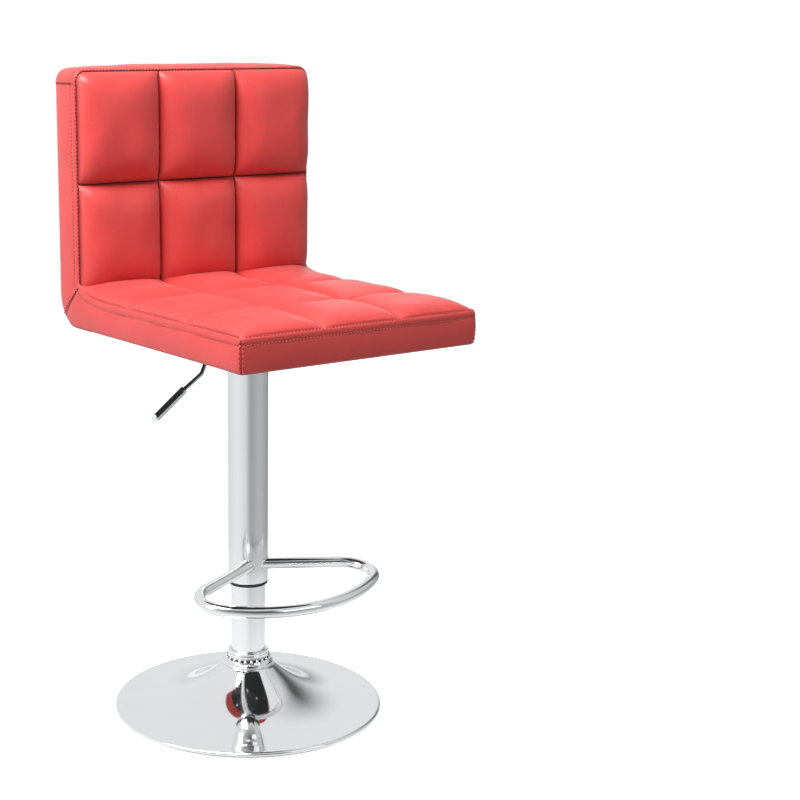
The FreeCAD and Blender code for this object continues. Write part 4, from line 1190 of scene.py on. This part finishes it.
def coped(points, forward):
    """Slide points along a bar's axis onto the cover tube's wall."""
    wall = COVER_BOX[1].x - 0.5 * MM
    flat = forward[:2]
    made = []
    for point in points:
        half = point[:2] @ flat / (flat @ flat)
        gap = (point[:2] @ point[:2] - wall ** 2) / (flat @ flat)
        made.append(point + forward * (-half + math.sqrt(max(half ** 2 - gap, 0))))
    return np.array(made)


def footrest():
    """The bent bar of the footrest, coped to the cover tube; its ends stay open in the tube's wall."""
    half, start, along = loop_points()
    right = [Vector((-p.x, p.y, p.z)) for p in half[:-1]][::-1]
    path = tilted([tuple(p) for p in half + right])
    sides = 48
    points, faces = sweep(path, BAR_R, sides, False)
    ahead = tilted_way(along)
    points[:sides] = coped(points[:sides], ahead)
    points[-sides:] = coped(points[-sides:], ahead * np.array((-1, 1, 1)))
    return face_outward(solid("Footrest_loop", points, faces, material("Mirror chrome")))


def welds():
    """Rippled bead where each arm of the footrest meets the cover tube."""
    half, start, along = loop_points()
    forward = tilted_way(along)
    origin = tilted([tuple(start)])[0]
    turns = 2 * math.pi * np.arange(64) / 64
    bends = 2 * math.pi * np.arange(10) / 10
    parts = []
    for flip in (1, -1):
        ahead = forward * np.array((flip, 1, 1))
        side = np.cross(ahead, (0, 0, 1.0))
        side /= np.linalg.norm(side)
        up = np.cross(side, ahead)
        round_bar = [math.cos(turn) * side + math.sin(turn) * up for turn in turns]
        line = coped([origin + (BAR_R + WELD_LIFT) * way for way in round_bar], ahead)
        rings = []
        for spot, way, turn in zip(line, round_bar, turns):
            thick = 0.9 * (WELD_R + WELD_RIPPLE * math.sin(18 * turn))
            rings.append([spot + thick * (math.cos(bend) * way + math.sin(bend) * ahead) for bend in bends])
        parts.append((np.array(rings).reshape(-1, 3), weave(64, 10, True, True)))
    return face_outward(solid("Footrest_welds", *merge(parts), material("Mirror chrome")))


def lever_point(reach, z):
    return (-math.cos(LEVER_TURN) * reach * MM, -math.sin(LEVER_TURN) * reach * MM, z * MM)


def lever():
    """The bent lever rod with its flattened eye."""
    rod = sweep(rounded([lever_point(*p) for p in LEVER_LINE], LEVER_BEND_R, 1.2 * MM), LEVER_R, 24)
    side = np.array((-math.sin(LEVER_TURN), math.cos(LEVER_TURN), 0))
    pivot = np.array(lever_point(PIVOT_REACH, LEVER_Z))
    soft = 0.5 * MM
    stops = [(-EYE_HALF, EYE_R - soft), (-EYE_HALF + soft, EYE_R), (EYE_HALF - soft, EYE_R),
             (EYE_HALF, EYE_R - soft)]
    eye = sweep([pivot + side * s for s, r in stops], [r for s, r in stops], 32)
    return face_outward(solid("Lever_rod", *merge([rod, eye]), material("Mirror chrome")))


def grip():
    """Turned metal grip with a shallow groove near its inner end."""
    inner, outer = (np.array(lever_point(*p)) for p in GRIP_LINE)
    length = float(np.linalg.norm(outer - inner))
    ahead = (outer - inner) / length
    whole = length / MM
    mirrored = [(whole - s, r) for s, r in GRIP_STOPS[:6]][::-1]
    middle = [(GRIP_STOPS[-1][0] + (whole - 10) * i / 12, GRIP_STOPS[-1][1]) for i in range(1, 12)]
    stops = GRIP_STOPS + middle + mirrored[:-1] + [(whole - 0.02, 2.0)]
    points, faces = sweep([inner + ahead * s * MM for s, r in stops], [r * MM for s, r in stops], 40)
    return face_outward(solid("Lever_grip", points, faces, material("Mirror chrome")))


# ---------------------------------------------------------------- settings and operators

def colour_setting(name, description, value):
    return bpy.props.FloatVectorProperty(name=name, description=description, default=value, min=0, max=1,
                                         subtype="COLOR")


def length_setting(name, description, value):
    return bpy.props.FloatProperty(name=name, description=description, default=value * MM, subtype="DISTANCE",
                                   unit="LENGTH")


class StoolSizes(bpy.types.PropertyGroup):
    """Sizes and colours a user would change."""

    leather_colour: colour_setting("Leather colour", "Colour of the seat's leather", (0.62, 0.050, 0.045))
    thread_colour: colour_setting("Thread colour", "Colour of the stitching", (0.80, 0.16, 0.14))
    floor_colour: colour_setting("Floor colour", "Colour of the studio floor", (0.9, 0.9, 0.9))
    grain_size: length_setting("Grain size", "Width of one pebble of the leather's grain", 1.1)
    seat_rise: length_setting("Seat rise", "How far the seat's panels puff up", 16)
    back_rise: length_setting("Back rise", "How far the back's panels puff out", 30)
    gather_depth: length_setting("Gather depth", "Height of the small folds beside seams", 0.35)
    stitch_pitch: length_setting("Stitch pitch", "Distance from one stitch to the next", 5.2)
    stitch_length: length_setting("Stitch length", "Length of one stitch", 3.5)
    stitch_thickness: length_setting("Stitch thickness", "Width of the thread", 1.3)
    chrome_roughness: bpy.props.FloatProperty(name="Chrome roughness", description="Roughness of clean plating",
                                              default=0.04, min=0, max=1, subtype="FACTOR")
    stud_count: bpy.props.IntProperty(name="Studs", description="Studs round the foot collar", default=22, min=3)


def sizes_of(context):
    return context.scene.stool_sizes


class STOOL_OT_finishes(bpy.types.Operator):
    """Make every finish and paint the frame's own pieces"""

    bl_idname = "stool.finishes"
    bl_label = "Finishes"

    def execute(self, context):
        make_finishes(sizes_of(context))
        plated = {"chrome": "Mirror chrome", "red_leather": "Red leather"}
        for part in frame["record"]["subparts"]:
            piece = frame["nodes"][part["node"]]
            slot = part["material_slot"]
            piece.data.materials.clear()
            piece.data.materials.append(material(plated.get(slot, slot)))
        return {"FINISHED"}


class STOOL_OT_base(bpy.types.Operator):
    """Spin the base dish, the studded foot collar and the floor pad"""

    bl_idname = "stool.base"
    bl_label = "Base"

    def execute(self, context):
        sizes = sizes_of(context)
        dish = turned("Base_dish", dish_outline(), 256, "Mirror chrome")
        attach(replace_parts(dish, "base_dish"), "base")
        ring = tube_outline(PAD_BOX[1].x, 20 * MM, 0.0, PAD_BOX[1].z, 0.6 * MM)
        pad = turned("Floor_pad", long_outline(ring, 12 * MM), 160, "black_rubber")
        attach(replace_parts(pad, "floor_pad"), "base")
        low = COLLAR_BOX[0].z
        side = [(r * MM, low + z * MM) for r, z in COLLAR_SIDE]
        bore = COLUMN_BOX[1].x + FIT
        closing = [(bore, COLLAR_BOX[1].z - 0.6 * MM), (bore, low)]
        collar = turned("Foot_collar", side + closing, 192, "Mirror chrome")
        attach(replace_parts(collar, "trim_collar"), "base")
        studs = grown("Collar_studs", stud_tree(), [(0, 0, 0)], [],
                      {"Count": sizes.stud_count, "Ring radius": STUD_RING_R, "Height": low + STUD_RISE,
                       "Stud radius": STUD_R})
        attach(studs, "base")
        groove = tube_outline(*RECESS_R, *(low + rise for rise in RECESS_RISE), 0.4 * MM)
        recess = turned("Collar_recess", groove, 128, "black_rubber")
        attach(recess, "base")
        return {"FINISHED"}


class STOOL_OT_column(bpy.types.Operator):
    """Draw the fixed column, the sliding cover tube and its ring"""

    bl_idname = "stool.column"
    bl_label = "Column"

    def execute(self, context):
        outer = COLUMN_BOX[1].x
        column = tube_outline(outer, outer - 2 * MM, COLUMN_BOX[0].z, COLUMN_BOX[1].z, 0.5 * MM)
        piece = turned("Column_tube", long_outline(column, 20 * MM), 192, "Mirror chrome")
        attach(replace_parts(piece, "pedestal_tube"), "base")
        wide = COVER_BOX[1].x
        cover = tube_outline(wide, wide - SHEET, COVER_BOX[0].z, COVER_BOX[1].z, 0.6 * MM)
        piece = turned("Cover_tube", long_outline(cover, 20 * MM), 192, "Satin chrome")
        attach(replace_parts(piece, "cover_tube"), "seat")
        ring = tube_outline(wide - 0.2 * MM, outer + 0.08 * MM, RING_BOX[0].z, COVER_BOX[0].z, 0.9 * MM)
        piece = turned("Tube_ring", ring, 160, "black_plastic")
        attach(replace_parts(piece, "tube_ring"), "seat")
        return {"FINISHED"}


class STOOL_OT_footrest(bpy.types.Operator):
    """Bend the footrest and weld it to the cover tube"""

    bl_idname = "stool.footrest"
    bl_label = "Footrest"

    def execute(self, context):
        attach(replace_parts(footrest(), "footrest_loop"), "seat")
        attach(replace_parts(welds(), "footrest_welds"), "seat")
        return {"FINISHED"}


class STOOL_OT_lever(bpy.types.Operator):
    """Bend the release lever and turn its grip"""

    bl_idname = "stool.lever"
    bl_label = "Release lever"

    def execute(self, context):
        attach(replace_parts(lever(), "lever_rod"), "lever")
        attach(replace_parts(grip(), "lever_grip"), "lever")
        return {"FINISHED"}


class STOOL_OT_seat_cushion(bpy.types.Operator):
    """Fill and quilt the seat cushion"""

    bl_idname = "stool.seat_cushion"
    bl_label = "Seat cushion"

    def execute(self, context):
        sizes = sizes_of(context)
        pad = quilted_cushion(seat_quilt(sizes.seat_rise), sizes, (48, 48), 5)
        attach(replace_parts(pad, "seat_panel", "seat_foam"), "seat")
        return {"FINISHED"}


class STOOL_OT_back_cushion(bpy.types.Operator):
    """Fill and quilt the back cushion"""

    bl_idname = "stool.back_cushion"
    bl_label = "Back cushion"

    def execute(self, context):
        sizes = sizes_of(context)
        pad = quilted_cushion(back_quilt(sizes.back_rise), sizes, (48, 56), 11)
        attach(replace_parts(pad, "back_panel", "back_foam"), "seat")
        return {"FINISHED"}


class STOOL_OT_covers(bpy.types.Operator):
    """Sew the side band and the rear cover"""

    bl_idname = "stool.covers"
    bl_label = "Band and rear cover"

    def execute(self, context):
        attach(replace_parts(side_band(), "side_band"), "seat")
        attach(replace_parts(rear_cover(), "rear_cover"), "seat")
        return {"FINISHED"}


class STOOL_OT_stitching(bpy.types.Operator):
    """Stitch every seam of the cushions and covers"""

    bl_idname = "stool.stitching"
    bl_label = "Stitching"

    def execute(self, context):
        sizes = sizes_of(context)
        points, edges, outs = [], [], []
        for lines in SEWN.values():
            for line, out in lines:
                start = len(points)
                closed = np.linalg.norm(line[0] - line[-1]) < 20 * MM
                points += [tuple(p) for p in line + STITCH_LIFT * np.asarray(out)]
                outs += [tuple(o) for o in out]
                edges += [(start + i, start + i + 1) for i in range(len(line) - 1)]
                if closed:
                    edges.append((start + len(line) - 1, start))
        threads = grown("Stitching", stitch_tree(), points, edges,
                        {"Pitch": sizes.stitch_pitch, "Length": sizes.stitch_length,
                         "Thickness": sizes.stitch_thickness}, {"out": outs})
        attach(threads, "seat")
        return {"FINISHED"}


def area_light(name, spot, target, size, power):
    data = bpy.data.lights.new(name, "AREA")
    data.shape = "RECTANGLE"
    data.size, data.size_y = size
    data.energy = power
    lamp = bpy.data.objects.new(name, data)
    bpy.context.scene.collection.objects.link(lamp)
    lamp.location = spot
    lamp.rotation_euler = (Vector(target) - Vector(spot)).to_track_quat("-Z", "Y").to_euler()


class STOOL_OT_stage(bpy.types.Operator):
    """Set up the pale floor, the soft studio light and the camera"""

    bl_idname = "stool.stage"
    bl_label = "Studio"

    def execute(self, context):
        solid("Studio_floor", *self.disc(FLOOR_R), self.paint(sizes_of(context)), False)
        self.sky(context.scene)
        for name, light in LIGHTS.items():
            area_light(name, *light)
        self.camera(context.scene)
        return {"FINISHED"}

    def disc(self, radius):
        """Points and faces of a flat round floor."""
        count = 96
        turns = [2 * math.pi * i / count for i in range(count)]
        return [(radius * math.cos(t), radius * math.sin(t), 0) for t in turns], [tuple(range(count))]

    def paint(self, sizes):
        """Pale floor: lit evenly for the camera, toned like the room for polished metal."""
        made, tree, shader = finish("Studio floor", Roughness=0.6)
        place = node(tree, "ShaderNodeTexCoord").outputs["Object"]
        mottle = node(tree, "ShaderNodeTexNoise", {"Scale": 3.0, "Vector": place}).outputs["Fac"]
        tone = tuple(sizes.floor_colour)
        body = blend_colours(tree, mottle, tinted(tone, 0.995), tinted(tone, 1.005))
        tree.links.new(body, shader.inputs["Base Color"])
        shader.inputs["Emission Color"].default_value = (1, 1, 1, 1)
        seen = node(tree, "ShaderNodeLightPath")
        tree.links.new(maths(tree, "MULTIPLY", seen.outputs["Is Camera Ray"], FLOOR_GLOW),
                       shader.inputs["Emission Strength"])
        flat = node(tree, "ShaderNodeVectorMath", {0: place, 1: (1, 1, 0)}, operation="MULTIPLY").outputs[0]
        away = node(tree, "ShaderNodeVectorMath", {0: flat}, operation="LENGTH").outputs["Value"]
        far = node(tree, "ShaderNodeMapRange", {"Value": away, "From Min": 0.0, "From Max": 0.85}).outputs[0]
        room = group(tree, "Studio tones")
        tree.links.new(flat, room.inputs["Direction"])
        tone = node(tree, "ShaderNodeMix", {0: far, 2: 1.12, 3: room.outputs["Tone"]}).outputs[0]
        mirrored = node(tree, "ShaderNodeEmission", {"Color": tone, "Strength": 1.0})
        dim = node(tree, "ShaderNodeBsdfDiffuse", {"Color": (0.4, 0.4, 0.4, 1)})
        soft = node(tree, "ShaderNodeMixShader", {0: seen.outputs["Is Diffuse Ray"], 1: shader.outputs[0],
                                                  2: dim.outputs[0]})
        both = node(tree, "ShaderNodeMixShader", {0: seen.outputs["Is Glossy Ray"], 1: soft.outputs[0],
                                                  2: mirrored.outputs[0]})
        tree.links.new(both.outputs[0], tree.nodes["Material Output"].inputs["Surface"])
        return made

    def sky(self, scene):
        """Bright surround for the camera, room tones for polished metal, soft light for the rest."""
        world = bpy.data.worlds.new("Studio surround")
        scene.world = world
        world.use_nodes = True
        tree = world.node_tree
        tree.nodes.clear()
        room = group(tree, "Studio tones")
        tree.links.new(node(tree, "ShaderNodeTexCoord").outputs["Generated"], room.inputs["Direction"])
        seen = node(tree, "ShaderNodeLightPath")
        mirror = node(tree, "ShaderNodeBackground", {"Color": room.outputs["Tone"], "Strength": 1.0})
        plain = node(tree, "ShaderNodeBackground", {"Color": (1, 1, 1, 1), "Strength": SKY_GLOW})
        white = node(tree, "ShaderNodeBackground", {"Color": (1, 1, 1, 1), "Strength": 1.05})
        first = node(tree, "ShaderNodeMixShader", {0: seen.outputs["Is Glossy Ray"], 1: plain.outputs[0],
                                                   2: mirror.outputs[0]})
        second = node(tree, "ShaderNodeMixShader", {0: seen.outputs["Is Camera Ray"], 1: first.outputs[0],
                                                    2: white.outputs[0]})
        tree.links.new(second.outputs[0], node(tree, "ShaderNodeOutputWorld").inputs[0])
        scene.view_settings.view_transform = "Standard"

    def camera(self, scene):
        """Camera a little above seat height, to the sitter's right of the front."""
        data = bpy.data.cameras.new("Camera")
        data.sensor_width = 36
        data.lens = CAMERA_LENS
        data.shift_x = CAMERA_SHIFT
        eye = bpy.data.objects.new("Camera", data)
        scene.collection.objects.link(eye)
        turn = math.radians(CAMERA_TURN)
        eye.location = (math.sin(turn) * CAMERA_AWAY, -math.cos(turn) * CAMERA_AWAY, CAMERA_HEIGHT)
        eye.rotation_euler = (math.radians(90 - CAMERA_DIP), 0, turn)
        scene.camera = eye


class STOOL_PT_build(bpy.types.Panel):
    """Lists the stool's pieces"""

    bl_label = "Swivel stool"
    bl_space_type = "VIEW_3D"
    bl_region_type = "UI"
    bl_category = "Stool"

    def draw(self, context):
        for step in STEPS:
            self.layout.operator(step.bl_idname)


STEPS = (STOOL_OT_finishes, STOOL_OT_base, STOOL_OT_column, STOOL_OT_footrest, STOOL_OT_lever,
         STOOL_OT_seat_cushion, STOOL_OT_back_cushion, STOOL_OT_covers, STOOL_OT_stitching, STOOL_OT_stage)
CLASSES = (StoolSizes, *STEPS, STOOL_PT_build)


def register():
    for item in CLASSES:
        bpy.utils.register_class(item)
    bpy.types.Scene.stool_sizes = bpy.props.PointerProperty(type=StoolSizes)


def unregister():
    del bpy.types.Scene.stool_sizes
    for item in reversed(CLASSES):
        bpy.utils.unregister_class(item)


def main():
    register()
    bpy.ops.stool.finishes()
    bpy.ops.stool.base()
    bpy.ops.stool.column()
    bpy.ops.stool.footrest()
    bpy.ops.stool.lever()
    bpy.ops.stool.seat_cushion()
    bpy.ops.stool.back_cushion()
    bpy.ops.stool.covers()
    bpy.ops.stool.stitching()
    bpy.ops.stool.stage()


if __name__ == "__main__":
    main()
